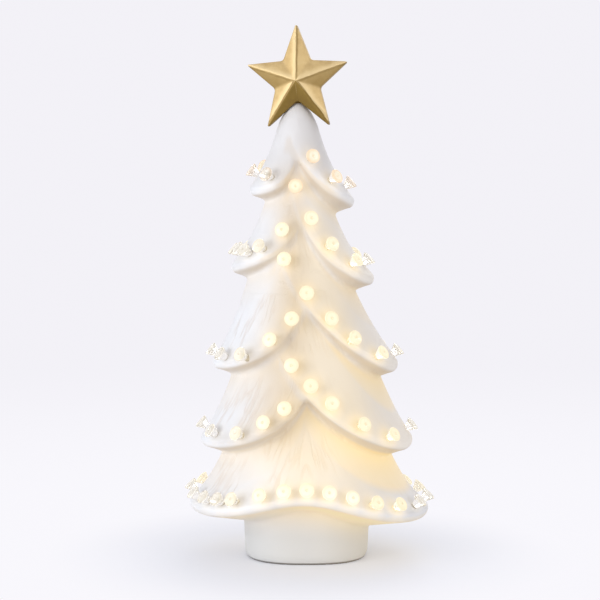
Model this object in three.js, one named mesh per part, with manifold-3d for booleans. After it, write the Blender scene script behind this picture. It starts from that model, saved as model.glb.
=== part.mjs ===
// Lighted porcelain tree: a slip-cast shell with draped tiers, clear light pegs along every hem,
// a painted star, and a battery module that plugs the open base.
// Millimetres, +Z up, origin at the middle of the foot. The front of the tree looks along -Y.

import * as THREE from 'three';
import { mergeVertices } from 'three/addons/utils/BufferGeometryUtils.js';
import Module from 'manifold-3d';

const wasm = await Module();
wasm.setup();

// Overall sizes and clearances
const crownHeight = 232;
const skirtWidth = 121;
const fitClearance = 0.3;
const runningClearance = 0.4;
const shellWall = 4;
const cutPast = 1;
const pieceSink = 0.1;

// The upper tree stands a little to the left: it swings over between these two heights
const crownLean = 4.4;
const leanStart = crownHeight - 152;
const leanEnd = crownHeight - 72;

// The rolled lip that ends every skirt
const lipBulge = 2.2;
const lipBulgeHeight = 7;
const lipRoll = 1.5;
const lipDepth = 5.5;
const lipReach = 10;
const lipReachShare = 0.6;
const lipCoveShare = 1.35;
const tuckDepth = 1.4;
const leadRaise = 0.8;
const settleStart = 60;
const settleEnd = 150;

// Under the lip, as how far in from it and how far below the hem
const lipNose = [[0.8, 1.2], [3.5, 3]];

// Under the lowest skirt, as how far out from the trunk and how far below the hem
const skirtCove = [[4, 7], [-3, 9]];
const skirtFoot = 12;

// A tier is a skirt that flares from its core radius to its lip radius over its flare height.
// Two equal swags, half a turn apart, make the skirt. The leading edge of each starts high and
// sweeps down, and lies over the trailing end of the other, which rises to meet it in a valley.
// Bearings are in degrees, counted from the front towards +X. The first list of pegs is for the
// swag that leads at the front, the second for its twin, whose bearings count from the back.
const tiers = [
  {
    lip: 25.8, hem: crownHeight - 49, core: 0, flare: 36, top: crownHeight, tilt: 3.1,
    leadStart: -18, leadRise: 31, leadSpan: 125, leadPower: 2,
    valley: 0, trailRise: 24, trailFade: 22, pegLift: 7.2,
    pegs: [[21, 47, 88, 141], [21, 47, 88, 141]],
  },
  {
    lip: 37.3, hem: crownHeight - 90, core: 4, flare: 38, top: crownHeight - 26, tilt: 2.5,
    leadStart: -16, leadRise: 52, leadSpan: 98, leadPower: 2,
    valley: 0, trailRise: 27, trailFade: 38, pegLift: 7.2,
    pegs: [
      [-3, 15.5, 33, 53, 88, 122, 136, 150, 165],
      [-3, 15.5, 33, 48, 88, 110, 124.5, 142, 163],
    ],
  },
  {
    lip: 49.2, hem: crownHeight - 137.5, core: 8, flare: 54, top: crownHeight - 64, tilt: 0,
    leadStart: -28, leadRise: 64, leadSpan: 100, leadPower: 1.5,
    valley: 6, trailRise: 36, trailFade: 27, pegLift: 7.2,
    pegs: [
      [-14, 6, 22.5, 36, 54, 88, 124, 140, 157, 172.5],
      [-14, 6, 22.5, 36, 50, 88, 118, 138, 157, 172.5],
    ],
  },
  {
    lip: 54.8, hem: crownHeight - 175, core: 20, flare: 48, top: crownHeight - 107, tilt: 0,
    leadStart: -22, leadRise: 48, leadSpan: 95, leadPower: 1.9,
    valley: 1, trailRise: 30, trailFade: 23, pegLift: 7.2,
    pegs: [
      [-9.5, 3, 15.5, 33, 51, 86, 124, 141, 155, 166.5],
      [-9.5, 3, 15.5, 33, 48, 86, 118, 140, 155, 166.5],
    ],
  },
];

// The lowest skirt is one ring whose hem lifts in front and behind
const skirt = {
  lip: skirtWidth / 2, hem: 25.5, core: 25, flare: 40, top: tiers[3].hem + 27, tilt: 1.6,
  liftRise: 11, liftSpan: 36, pegLift: 4.4,
  pegs: [[0, 11.4, 22.8, 35.3, 49, 65.7, 84, 108, 121.4, 132, 141, 156, 168.4]],
};
skirt.pegs.push(skirt.pegs[0]);

const swagStep = 12;
const swagOverlapSteps = 4;
const hollowStep = 30;
const frontArc = 60;

// Trunk, a soft square in plan
const trunkWidth = 64.8;
const trunkFootWidth = 58.8;
const trunkTop = 45;
const trunkSquareness = 2.5;
const trunkEdgeRadius = 5;
const trunkTaper = 0.8;
const trunkSides = 28;
const trunkEdgeTurns = [0, 30, 60, 90];

// Crown tip and the socket for the star
const tipRounding = 10;
const crownSolid = 20;
const starRadius = 27.8;
const starWaist = 12.2;
const starHalfDepth = 7.5;
const starHalfEdge = 2;
const starForward = 3.5;
const starHeight = crownHeight + 10.2;
const starTurn = 1.5;
const starYaw = -10;
const starStemRadius = 2.4;
const starStemLength = 8.5;
const starStemSides = 16;
const crownSeatLevels = [-24, -18, -14, -10, -7, -4, -2, 0];
const crownSeatSides = 24;

// Light pegs
const pegStemRadius = 1.5;
const pegStemLength = 4.5;
const pegHeadRadius = 3.7;
const pegHeadHeight = 4;
const pegGirdle = 0.6;
const pegCrown = 0.5;
const pegBoreDepth = 10;
const pegBoreRise = 3;
const pegStandoff = 0.5;
const pegFrontTilt = 0.4;
const pegSideDrop = 2.8;
const pegSides = 7;
const rootedPegSides = 4;
const pegBoreSides = 6;

// Battery module
const baseRecess = 0.6;
const baseSides = 32;
const flangeRadius = 26;
const flangeThickness = 2.4;
const baseOpening = 22.6;
const shoulderThickness = 3;
const sealThickness = 0.8;
const cellRadius = 7.25;
const cellLength = 50.5;
const cellNubHeight = 1.1;
const cellNubRadius = 2.7;
const cellGap = 0.5;
const bridgeGap = 0.1;
const wellClearance = 0.45;
const caseWall = 1.6;
const doorThickness = 1.8;
const doorLedge = 1.8;
const doorRecess = 0.2;
const collarHeight = 3;
const contactThickness = 0.4;
const springHeight = 2.6;
const springWire = 0.35;
const springTurns = 3;
const springRadius = 3;
const springWireSides = 2;
const springStepsPerTurn = 6;
const cellFootInset = 1.2;
const cellEdge = 0.8;
const cellCrimp = 0.5;
const cellSides = 16;
const contactWidth = 10.8;
const contactDepth = 7.6;
const dimpleRadius = 2.2;
const roundSides = 12;

// Door hinge and latch
const hingeRadius = 1.2;
const hingeWidth = 12;
const hingePinRadius = 0.7;
const hingePinReach = 1.6;
const hingeCheek = 3;
const hingeWebSink = 4;
const latchWidth = 7;
const latchReach = 1.6;
const latchThickness = 1.1;
const gripWidth = 0.8;
const gripDepth = 0.5;
const gripPitch = 1.8;
const gripInset = 3;
const gripRows = [-1, 0, 1];

// Switch
const switchLength = 9;
const switchWidth = 4.6;
const switchBodyHeight = 4;
const switchPlace = -16.2;
const switchTravel = 3;
const knobLength = 3;
const knobWidth = 2.2;
const knobRecess = 0.3;

// Light carrier and lamps
const carrierThickness = 2.4;
const bossRadius = 2.7;
const bossHeight = 10;
const screwRadius = 0.9;
const screwHeadRadius = 2.2;
const screwHeadHeight = 1.5;
const screwTip = 1;
const screwSides = 10;
const screwHoleFloor = 2;
const holeSides = 8;
const boardLength = 27;
const boardWidth = 13;
const boardThickness = 1.6;
const ledRadius = 2.5;
const ledHeight = 5.4;
const ledFlange = 0.4;
const ledSides = 10;
const ledFlangeHeight = 0.9;
const ledPlaces = [-9, 0, 9];
const wireRadius = 0.6;
const wireSteps = 18;
const wireSides = 3;

// Finishes
const finishes = {
  porcelain: new THREE.MeshStandardMaterial({ color: 0xf4f1ea, roughness: 0.42, metalness: 0 }),
  gold: new THREE.MeshStandardMaterial({ color: 0xc8a763, roughness: 0.42, metalness: 0.6 }),
  clear: new THREE.MeshStandardMaterial({
    color: 0xfff2cf, roughness: 0.08, metalness: 0, transparent: true, opacity: 0.6,
  }),
  casing: new THREE.MeshStandardMaterial({ color: 0xece8e0, roughness: 0.5, metalness: 0 }),
  dark: new THREE.MeshStandardMaterial({ color: 0x2a2a2c, roughness: 0.5, metalness: 0 }),
  foam: new THREE.MeshStandardMaterial({ color: 0xb9b6b0, roughness: 0.95, metalness: 0 }),
  steel: new THREE.MeshStandardMaterial({ color: 0xc3c5c8, roughness: 0.3, metalness: 1 }),
  board: new THREE.MeshStandardMaterial({ color: 0x2f6b43, roughness: 0.5, metalness: 0 }),
  cell: new THREE.MeshStandardMaterial({ color: 0x3c4652, roughness: 0.4, metalness: 0.3 }),
  led: new THREE.MeshStandardMaterial({ color: 0xffe3a0, roughness: 0.2, metalness: 0 }),
  red: new THREE.MeshStandardMaterial({ color: 0xb3261e, roughness: 0.55, metalness: 0 }),
};

// Geometry helpers

// Merges shared corners, drops empty triangles and turns the faces outwards.
function closedGeometry(geometry) {
  const bare = geometry.clone();
  bare.deleteAttribute('normal');
  bare.deleteAttribute('uv');
  const merged = mergeVertices(bare, 1e-4);
  const place = merged.getAttribute('position');
  const source = merged.getIndex().array;
  const corner = [new THREE.Vector3(), new THREE.Vector3(), new THREE.Vector3()];
  const kept = [];
  let sixVolumes = 0;
  for (let i = 0; i < source.length; i += 3) {
    const [a, b, c] = [source[i], source[i + 1], source[i + 2]];
    if (a === b || b === c || c === a) continue;
    kept.push(a, b, c);
    [a, b, c].forEach((vertex, at) => corner[at].fromBufferAttribute(place, vertex));
    sixVolumes += corner[0].dot(corner[1].cross(corner[2]));
  }
  merged.setIndex(sixVolumes > 0 ? kept : kept.reverse());
  return merged;
}

function toSolid(geometry) {
  const closed = closedGeometry(geometry);
  return new wasm.Manifold(new wasm.Mesh({
    numProp: 3,
    vertProperties: new Float32Array(closed.getAttribute('position').array),
    triVerts: new Uint32Array(closed.getIndex().array),
  }));
}

function toGeometry(solid) {
  const mesh = solid.getMesh();
  const geometry = new THREE.BufferGeometry();
  geometry.setAttribute('position', new THREE.BufferAttribute(new Float32Array(mesh.vertProperties), 3));
  geometry.setIndex(new THREE.BufferAttribute(new Uint32Array(mesh.triVerts), 1));
  return geometry;
}

function joined(...geometries) {
  return geometries.map(toSolid).reduce((sum, solid) => sum.add(solid));
}

function cylinder(radius, bottom, top, x = 0, y = 0, sides = 24) {
  const geometry = new THREE.CylinderGeometry(radius, radius, top - bottom, sides);
  return geometry.rotateX(Math.PI / 2).translate(x, y, (bottom + top) / 2);
}

function block(width, depth, bottom, top, x = 0, y = 0) {
  return new THREE.BoxGeometry(width, depth, top - bottom).translate(x, y, (bottom + top) / 2);
}

// A turned solid about Z from [radius, height] points that start and end on the axis.
function turned(points, sides) {
  const profile = points.map(([radius, height]) => new THREE.Vector2(radius, height));
  return new THREE.LatheGeometry(profile, sides).rotateX(Math.PI / 2);
}

// A plate with round ends along X.
function longPlate(halfPitch, radius, bottom, top) {
  const outline = new THREE.Shape();
  outline.absarc(halfPitch, 0, radius, -Math.PI / 2, Math.PI / 2);
  outline.absarc(-halfPitch, 0, radius, Math.PI / 2, 1.5 * Math.PI);
  const plate = { depth: top - bottom, bevelEnabled: false, curveSegments: 6 };
  return new THREE.ExtrudeGeometry(outline, plate).translate(0, 0, bottom);
}

function roundWire(points, radius, steps, sides) {
  const section = new THREE.Shape();
  section.absarc(0, 0, radius, 0, 2 * Math.PI);
  return new THREE.ExtrudeGeometry(section, {
    steps, curveSegments: sides, bevelEnabled: false, extrudePath: new THREE.CatmullRomCurve3(points),
  });
}

// Skins rows of points, all of one length. Closed rows are loops that stack up and are capped at
// both ends. Open rows are sections that share their first and last point, as slices of a cake do.
function skinned(rows, closedRows, closedStack) {
  const count = rows[0].length;
  const positions = rows.flat().flatMap((point) => [point.x, point.y, point.z]);
  const index = [];
  const spans = closedRows ? count : count - 1;
  const stacks = closedStack ? rows.length : rows.length - 1;
  for (let i = 0; i < stacks; i += 1) {
    const next = (i + 1) % rows.length;
    for (let j = 0; j < spans; j += 1) {
      const [a, b] = [i * count + j, i * count + ((j + 1) % count)];
      const [c, d] = [next * count + j, next * count + ((j + 1) % count)];
      index.push(a, b, d, a, d, c);
    }
  }
  const geometry = new THREE.BufferGeometry();
  geometry.setAttribute('position', new THREE.Float32BufferAttribute(positions, 3));
  if (closedStack) return closedGeometry(geometry.setIndex(index));
  [0, rows.length - 1].forEach((row) => {
    const flat = flattened(rows[row]);
    const faces = THREE.ShapeUtils.triangulateShape(flat, []);
    faces.forEach(([a, b, c]) => {
      const face = [row * count + a, row * count + b, row * count + c];
      index.push(...(row === 0 ? face.reverse() : face));
    });
  });
  return closedGeometry(geometry.setIndex(index));
}

// Lays a flat row of points down in its own plane, for the triangles of its cap.
function flattened(row) {
  const origin = row[0];
  const along = row[row.length - 1].clone().sub(origin).normalize();
  const far = row.reduce((best, point) => {
    const off = (p) => p.clone().sub(origin).cross(along).length();
    return off(point) > off(best) ? point : best;
  });
  const normal = far.clone().sub(origin).cross(along).normalize();
  const across = along.clone().cross(normal);
  return row.map((point) => {
    const offset = point.clone().sub(origin);
    return new THREE.Vector2(offset.dot(across), offset.dot(along));
  });
}

// The porcelain body

const radians = THREE.MathUtils.degToRad;

function leanAt(height) {
  return -crownLean * THREE.MathUtils.smoothstep(height, leanStart, leanEnd);
}

function placeOn(radius, bearing, height) {
  const turn = radians(bearing);
  return new THREE.Vector3(radius * Math.sin(turn) + leanAt(height), -radius * Math.cos(turn), height);
}

// Height of a swag's hem at a bearing counted from the swag's own front.
function swagHem(tier, bearing, turn) {
  const fromLead = Math.max(0, 1 - (bearing - tier.leadStart) / tier.leadSpan);
  const lead = tier.leadRise * fromLead ** tier.leadPower;
  const trail = tier.trailRise * Math.exp((bearing - tier.valley - 180) / tier.trailFade);
  const tilt = tier.tilt * Math.sin(radians(bearing + turn));
  return Math.min(tier.hem + lead + trail - tilt, tier.top - tipRounding - lipBulgeHeight);
}

// Height of the lowest skirt's hem, which lifts in front and behind.
function skirtHem(bearing) {
  const side = Math.asin(Math.sin(radians(bearing))) * (180 / Math.PI);
  const lift = skirt.liftRise * Math.exp(-((side / skirt.liftSpan) ** 2));
  return skirt.hem + lift - skirt.tilt * Math.sin(radians(bearing));
}

// How far a swag has tucked in under the other one: 0 up to the valley, then rising to 1.
function tucked(tier, bearing) {
  if (tier === skirt) return 0;
  return THREE.MathUtils.smoothstep(bearing, tier.valley + 180 - swagStep, tier.valley + 180 + swagStep);
}

// A swag stands proud of the one that it covers, most of all along its leading edge.
function raised(tier, bearing) {
  if (tier === skirt) return 0;
  const past = bearing - tier.leadStart;
  const settled = THREE.MathUtils.smoothstep(past, settleStart, settleEnd);
  return leadRaise * Math.min(1, past / swagStep) * (1 - settled);
}

// Radius of a tier's outer face over its hem.
function tierRadius(tier, bearing, hem, height) {
  const flare = tier.core + (tier.lip - tier.core) * Math.exp(-(height - tier.hem) / tier.flare);
  const under = tucked(tier, bearing);
  const bulge = lipBulge * (1 - under) * Math.exp(-(((height - hem) / lipBulgeHeight) ** 2));
  const tipStart = crownHeight - tipRounding;
  const over = Math.max(0, height - tipStart) / tipRounding;
  const rounding = Math.sqrt(Math.max(0, 1 - over * over));
  return (flare + bulge + raised(tier, bearing) - tuckDepth * under) * rounding;
}

const bodyLevels = [1, 0.72, 0.48, 0.3, 0.17, 0.08, 0];
const crownLevels = [1, 0.96, 0.88, 0.74, 0.52, 0.32, 0.16, 0.06, 0];
const hollowLevels = [1, 0.6, 0.28, 0];
const leastHollow = 0.5;

// Outer section of a tier at one bearing, from the axis at its top to the axis at its foot.
function outerSection(tier, bearing, turn, hem, underside, foot) {
  const bottom = hem + lipRoll;
  const levels = tier.top === crownHeight ? crownLevels : bodyLevels;
  const points = [[0, tier.top]];
  levels.forEach((level) => {
    const height = bottom + (tier.top - bottom) * level;
    points.push([tierRadius(tier, bearing, hem, height), height]);
  });
  const lip = tierRadius(tier, bearing, hem, bottom);
  lipNose.forEach(([inward, below]) => points.push([lip - inward, hem - below]));
  points.push(...underside(lip, hem), [0, foot]);
  return points.map(([radius, height]) => placeOn(radius, bearing + turn, height));
}

// Inner section, one wall inside the outer one.
function innerSection(tier, bearing, turn, hem, foot) {
  const [bottom, top] = [hem + shellWall, innerTop(tier)];
  const points = [[0, top]];
  hollowLevels.forEach((level) => {
    const height = bottom + Math.max(leastHollow, top - bottom) * level;
    const reach = tierRadius(tier, bearing, hem - 2 * lipBulgeHeight, height) - shellWall;
    points.push([Math.max(leastHollow, reach), height]);
  });
  points.push([0, foot]);
  return points.map(([radius, height]) => placeOn(radius, bearing + turn, height));
}

function innerTop(tier) {
  return tier.top === crownHeight ? crownHeight - crownSolid : tier.top - shellWall;
}

function swagBearings(tier, step) {
  const count = Math.round(180 / step) + Math.round((swagOverlapSteps * swagStep) / step);
  return Array.from({ length: count + 1 }, (_, i) => tier.leadStart + i * step);
}

function swagSolid(tier, turn) {
  const inward = (lip, hem) => {
    const reach = Math.min(lipReach, lip * lipReachShare);
    return [[lip - reach, hem - lipDepth], [lip - lipCoveShare * reach, hem - lipDepth - lipRoll]];
  };
  const foot = tier.hem - lipDepth - 2 * lipRoll;
  return toSolid(skinned(swagBearings(tier, swagStep).map((bearing) => {
    const hem = swagHem(tier, bearing, turn);
    return outerSection(tier, bearing, turn, hem, inward, foot);
  }), false, false));
}

function swagHollow(tier, turn) {
  const foot = tier.hem - shellWall;
  return toSolid(skinned(swagBearings(tier, hollowStep).map((bearing) => {
    const hem = Math.min(swagHem(tier, bearing, turn), innerTop(tier) - 2 * shellWall);
    return innerSection(tier, bearing, turn, hem, foot);
  }), false, false));
}

function ringBearings(step) {
  return Array.from({ length: Math.round(360 / step) }, (_, i) => i * step);
}

function skirtSolid() {
  const neck = trunkWidth / 2;
  const sloped = (lip, hem) => skirtCove.map(([outward, below]) => [neck + outward, hem - below]);
  return toSolid(skinned(ringBearings(swagStep).map((bearing) => (
    outerSection(skirt, bearing, 0, skirtHem(bearing), sloped, skirt.hem - skirtFoot)
  )), false, true));
}

function skirtHollow() {
  return toSolid(skinned(ringBearings(hollowStep).map((bearing) => (
    innerSection(skirt, bearing, 0, skirtHem(bearing), skirt.hem - shellWall)
  )), false, true));
}

// A soft square loop: a superellipse of the given half width.
function softSquare(halfWidth, height) {
  return Array.from({ length: trunkSides }, (_, i) => {
    const turn = (2 * Math.PI * i) / trunkSides;
    const [across, deep] = [Math.cos(turn), Math.sin(turn)];
    const power = 2 / trunkSquareness;
    const x = Math.sign(across) * Math.abs(across) ** power * halfWidth;
    const y = Math.sign(deep) * Math.abs(deep) ** power * halfWidth;
    return new THREE.Vector3(x, y, height);
  });
}

function trunkSolid() {
  const [half, foot] = [trunkWidth / 2, trunkFootWidth / 2];
  const lower = half - trunkTaper;
  const loops = trunkEdgeTurns.map((turn) => [
    foot + (lower - foot) * Math.sin(radians(turn)), trunkEdgeRadius * (1 - Math.cos(radians(turn))),
  ]);
  loops.push([half, trunkTop / 2], [half, trunkTop]);
  return toSolid(skinned(loops.map(([width, height]) => softSquare(width, height)), true, false));
}

const sealBottom = baseRecess + flangeThickness + fitClearance;
const shoulderHeight = sealBottom + sealThickness + fitClearance;

function trunkHollow() {
  const bore = trunkWidth / 2 - trunkTaper - shellWall;
  const floor = shoulderHeight + shoulderThickness;
  const chamber = skinned([softSquare(bore, floor), softSquare(bore, trunkTop)], true, false);
  return joined(
    chamber,
    cylinder(baseOpening, shoulderHeight - cutPast, floor + cutPast, 0, 0, baseSides),
    cylinder(flangeRadius + fitClearance, -cutPast, shoulderHeight, 0, 0, baseSides),
  );
}

// Light pegs

// Where a peg sits on a tier, and the direction that its head faces: square to the surface at the
// sides, and nearer the horizontal in front and behind. Halfway round to a side it sits lower.
function pegSeat(tier, bearing, turn) {
  const hemAt = (at) => (tier === skirt ? skirtHem(at) : swagHem(tier, at, turn));
  const hem = hemAt(bearing);
  const faceAt = (at, height) => placeOn(tierRadius(tier, at, hem, height), at + turn, height);
  const drop = tier === skirt ? 0 : pegSideDrop * Math.sin(radians(2 * bearing)) ** 4;
  const height = hem + tier.pegLift - drop;
  const seat = faceAt(bearing, height);
  const along = faceAt(bearing + 1, height).sub(faceAt(bearing - 1, height));
  const upward = faceAt(bearing, height + 1).sub(faceAt(bearing, height - 1));
  const facing = along.cross(upward).normalize();
  const side = Math.sin(radians(bearing)) ** 4;
  facing.z *= pegFrontTilt + (1 - pegFrontTilt) * side;
  facing.normalize();
  return { seat: seat.addScaledVector(facing, pegStandoff), facing };
}

function allPegSeats() {
  const seats = [];
  [...tiers, skirt].forEach((tier) => {
    [0, 180].forEach((turn, swag) => {
      tier.pegs[swag].forEach((bearing) => {
        const local = tier === skirt ? bearing + turn : bearing;
        const swagTurn = tier === skirt ? 0 : turn;
        const front = Math.abs(THREE.MathUtils.euclideanModulo(bearing + turn + 180, 360) - 180);
        seats.push({ ...pegSeat(tier, local, swagTurn), inFront: front <= frontArc });
      });
    });
  });
  return seats;
}

function aimed(geometry, { seat, facing }) {
  const aim = new THREE.Quaternion().setFromUnitVectors(new THREE.Vector3(0, 0, 1), facing);
  return geometry.applyQuaternion(aim).translate(seat.x, seat.y, seat.z);
}

// A clear peg along Z: stem, cone, girdle and a low crown. Its shoulder is at zero.
function pegGeometry() {
  const girdle = fitClearance + pegHeadHeight;
  return turned([
    [0, -pegStemLength],
    [pegStemRadius, -pegStemLength],
    [pegStemRadius, fitClearance],
    [pegHeadRadius, girdle],
    [pegHeadRadius, girdle + pegGirdle],
    [0, girdle + pegGirdle + pegCrown],
  ], pegSides);
}

// The pegs that belong to the shell: plain heads, rooted in the porcelain.
function rootedPegGeometry() {
  const girdle = fitClearance + pegHeadHeight + pegGirdle;
  return turned([[0, -shellWall], [pegHeadRadius, girdle], [0, girdle + pegCrown]], rootedPegSides);
}

const pegSeats = allPegSeats();
const starPlace = leanAt(crownHeight - tipRounding / 3);

function treeBody() {
  const solids = tiers.flatMap((tier) => [0, 180].map((turn) => swagSolid(tier, turn)));
  const hollows = tiers.flatMap((tier) => [0, 180].map((turn) => swagHollow(tier, turn)));
  let body = solids.reduce((sum, solid) => sum.add(solid), trunkSolid().add(skirtSolid()));
  body = hollows.reduce((rest, hollow) => rest.subtract(hollow), body);
  body = body.subtract(skirtHollow()).subtract(trunkHollow());
  const socketFloor = starHeight - starWaist - starStemLength - fitClearance;
  const socket = cylinder(starStemRadius + fitClearance, socketFloor, crownHeight + cutPast, starPlace, 0,
    starStemSides);
  body = body.subtract(toSolid(socket));
  pegSeats.forEach((seat) => {
    const bore = cylinder(pegStemRadius + fitClearance, -pegBoreDepth, pegBoreRise, 0, 0, pegBoreSides);
    const change = toSolid(aimed(seat.inFront ? bore : rootedPegGeometry(), seat));
    body = seat.inFront ? body.subtract(change) : body.add(change);
  });
  return body;
}

// Star

function starBody() {
  const corner = (i, y) => {
    const turn = (Math.PI * i) / 5 + radians(starTurn);
    const reach = i % 2 ? starWaist : starRadius;
    return [-reach * Math.sin(turn), y, reach * Math.cos(turn)];
  };
  const [front, back] = [[0, -starHalfDepth, 0], [0, starHalfDepth, 0]];
  const positions = Array.from({ length: 10 }, (_, i) => {
    const [nearPoint, nearNext] = [corner(i, -starHalfEdge), corner(i + 1, -starHalfEdge)];
    const [farPoint, farNext] = [corner(i, starHalfEdge), corner(i + 1, starHalfEdge)];
    return [
      front, nearPoint, nearNext, back, farNext, farPoint,
      nearNext, nearPoint, farPoint, nearNext, farPoint, farNext,
    ].flat();
  }).flat();
  const facets = new THREE.BufferGeometry();
  facets.setAttribute('position', new THREE.Float32BufferAttribute(positions, 3));
  facets.setIndex(positions.slice(0, positions.length / 3).map((_, i) => i));
  facets.rotateZ(radians(starYaw)).translate(starPlace, -starForward, starHeight);
  const levels = crownSeatLevels.map((below) => crownHeight + below);
  const crown = levels.map((height) => {
    const below = Math.min(height, crownHeight - fitClearance);
    return [tierRadius(tiers[0], 0, tiers[0].hem, below) + fitClearance, height];
  });
  crown[crown.length - 1][1] += fitClearance;
  const seat = turned([[0, levels[0]], ...crown, [0, crownHeight + fitClearance]], crownSeatSides);
  const leaning = seat.getAttribute('position');
  for (let i = 0; i < leaning.count; i += 1) {
    leaning.setX(i, leaning.getX(i) + leanAt(leaning.getZ(i)));
  }
  const stemTop = starHeight - starWaist / 3;
  const stemFoot = starHeight - starWaist - starStemLength;
  const stem = cylinder(starStemRadius, stemFoot, stemTop, starPlace, 0, starStemSides);
  return toSolid(facets).subtract(toSolid(seat)).add(toSolid(stem));
}

// Battery module heights, from the floor up
const flangeTop = baseRecess + flangeThickness;
const doorBottom = baseRecess + doorRecess;
const doorTop = doorBottom + doorThickness;
const wellFloor = doorTop + fitClearance;
const halfPitch = cellRadius + cellGap / 2;
const wellRadius = cellRadius + wellClearance;
const towerRadius = wellRadius + caseWall;
const doorRadius = wellRadius + doorLedge;
const doorway = doorRadius + runningClearance;
const collarRadius = doorway + caseWall;
const bridgeBottom = doorTop + bridgeGap;
const cellBottom = bridgeBottom + contactThickness + springHeight + fitClearance;
const cellTop = cellBottom + cellLength;
const towerTop = cellTop + fitClearance + springHeight;
const hingeY = doorway + runningClearance + hingeRadius;
const hingeZ = (doorBottom + doorTop) / 2;
const bossY = towerRadius + bossRadius / 2;
const carrierBottom = towerTop + fitClearance;
const carrierTop = carrierBottom + carrierThickness;
const boardBottom = carrierTop + fitClearance;
const boardTop = boardBottom + boardThickness;

function alongX(radius, half, y, z) {
  const bar = new THREE.CylinderGeometry(radius, radius, 2 * half, roundSides);
  return bar.rotateZ(Math.PI / 2).translate(0, y, z);
}

function moduleCase() {
  const pocketHalf = hingeWidth / 2 + runningClearance;
  const pocketReach = hingeRadius + runningClearance;
  let body = joined(
    cylinder(flangeRadius, baseRecess, flangeTop, 0, 0, baseSides),
    longPlate(halfPitch, collarRadius, baseRecess, flangeTop + collarHeight),
    longPlate(halfPitch, towerRadius, flangeTop, towerTop),
    ...[-1, 1].map((side) => (
      cylinder(bossRadius, towerTop - bossHeight, towerTop, 0, side * bossY, roundSides)
    )),
    block(2 * (pocketHalf + hingeCheek), 2 * (pocketReach + caseWall), baseRecess,
      hingeZ + pocketReach + caseWall, 0, hingeY),
  );
  const cuts = [
    longPlate(halfPitch, wellRadius, baseRecess, towerTop + cutPast),
    longPlate(halfPitch, doorway, baseRecess - cutPast, wellFloor),
    block(2 * pocketHalf, 2 * pocketReach, baseRecess - cutPast, hingeZ + pocketReach, 0, hingeY),
    block(hingeWidth + 2 * runningClearance, 2 * caseWall, baseRecess - cutPast, wellFloor, 0, doorway),
    block(latchWidth + 2 * runningClearance, 2 * (latchReach + runningClearance), baseRecess - cutPast,
      wellFloor, 0, -doorway),
    alongX(hingePinRadius + fitClearance, pocketHalf + hingePinReach + fitClearance, hingeY, hingeZ),
    block(switchTravel + knobLength + 2 * runningClearance, knobWidth + 2 * runningClearance,
      baseRecess - cutPast, flangeTop + cutPast, 0, switchPlace),
    ...[-1, 1].map((side) => (
      cylinder(screwRadius + fitClearance, towerTop - bossHeight + screwHoleFloor, towerTop + cutPast, 0,
        side * bossY, holeSides)
    )),
  ];
  cuts.forEach((cut) => {
    body = body.subtract(toSolid(cut));
  });
  return body;
}

function batteryDoor() {
  const plate = longPlate(halfPitch, doorRadius, doorBottom, doorTop);
  const webStart = doorRadius - hingeWebSink;
  const web = block(hingeWidth, hingeY - webStart, doorBottom, doorTop, 0, (hingeY + webStart) / 2);
  const barrel = alongX(hingeRadius, hingeWidth / 2, hingeY, hingeZ);
  const pin = alongX(hingePinRadius, hingeWidth / 2 + runningClearance + hingePinReach, hingeY, hingeZ);
  const latch = block(latchWidth, latchReach + 2 * cutPast, doorBottom, doorBottom + latchThickness, 0,
    -(doorRadius - cutPast + latchReach / 2));
  const grips = gripRows.map((row) => (
    block(latchWidth, gripWidth, doorBottom - cutPast, doorBottom + gripDepth, 0,
      -doorRadius + gripInset + row * gripPitch)
  ));
  let door = joined(plate, web, barrel, pin, latch);
  grips.forEach((grip) => {
    door = door.subtract(toSolid(grip));
  });
  return door;
}

function coneSpring(x, bottom, top, wide, narrow) {
  const steps = springTurns * springStepsPerTurn;
  const points = Array.from({ length: steps + 1 }, (_, i) => {
    const share = i / steps;
    const turn = (2 * Math.PI * i) / springStepsPerTurn;
    const radius = wide + (narrow - wide) * share;
    return new THREE.Vector3(x + radius * Math.cos(turn), radius * Math.sin(turn),
      bottom + (top - bottom) * share);
  });
  return roundWire(points, springWire, steps, springWireSides);
}

function doorBridge() {
  const top = bridgeBottom + contactThickness;
  const plate = longPlate(halfPitch, wellRadius / 2, bridgeBottom, top);
  const spring = coneSpring(-halfPitch, top, top + springHeight - springWire, springRadius, springRadius / 2);
  const button = cylinder(cellNubRadius, top - pieceSink, top + springHeight - cellNubHeight, halfPitch, 0,
    roundSides);
  return joined(plate, spring, button);
}

function cellSolid(side) {
  const [nub, r] = [cellNubHeight, cellRadius];
  const profile = side < 0
    ? [[0, 0], [r - cellFootInset, 0], [r, cellEdge], [r, cellLength - nub - cellCrimp],
      [r - cellEdge, cellLength - nub], [cellNubRadius, cellLength - nub],
      [cellNubRadius, cellLength], [0, cellLength]]
    : [[0, 0], [cellNubRadius, 0], [cellNubRadius, nub], [r - cellEdge, nub], [r, nub + cellCrimp],
      [r, cellLength - cellEdge], [r - cellFootInset, cellLength], [0, cellLength]];
  return toSolid(turned(profile, cellSides).translate(side * halfPitch, 0, cellBottom));
}

function contactPlate(side) {
  return toSolid(block(contactWidth, contactDepth, carrierBottom - fitClearance - contactThickness,
    carrierBottom - fitClearance, side * halfPitch, 0));
}

function minusSpring() {
  const top = carrierBottom - fitClearance - contactThickness;
  const spring = coneSpring(halfPitch, cellTop + springWire + fitClearance / 2, top + springWire / 2,
    springRadius / 2, springRadius);
  return contactPlate(1).add(toSolid(spring));
}

function plusContact() {
  const top = carrierBottom - fitClearance - contactThickness;
  const dimple = cylinder(dimpleRadius, cellTop + fitClearance, top + pieceSink, -halfPitch, 0, roundSides);
  return contactPlate(-1).add(toSolid(dimple));
}

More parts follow.
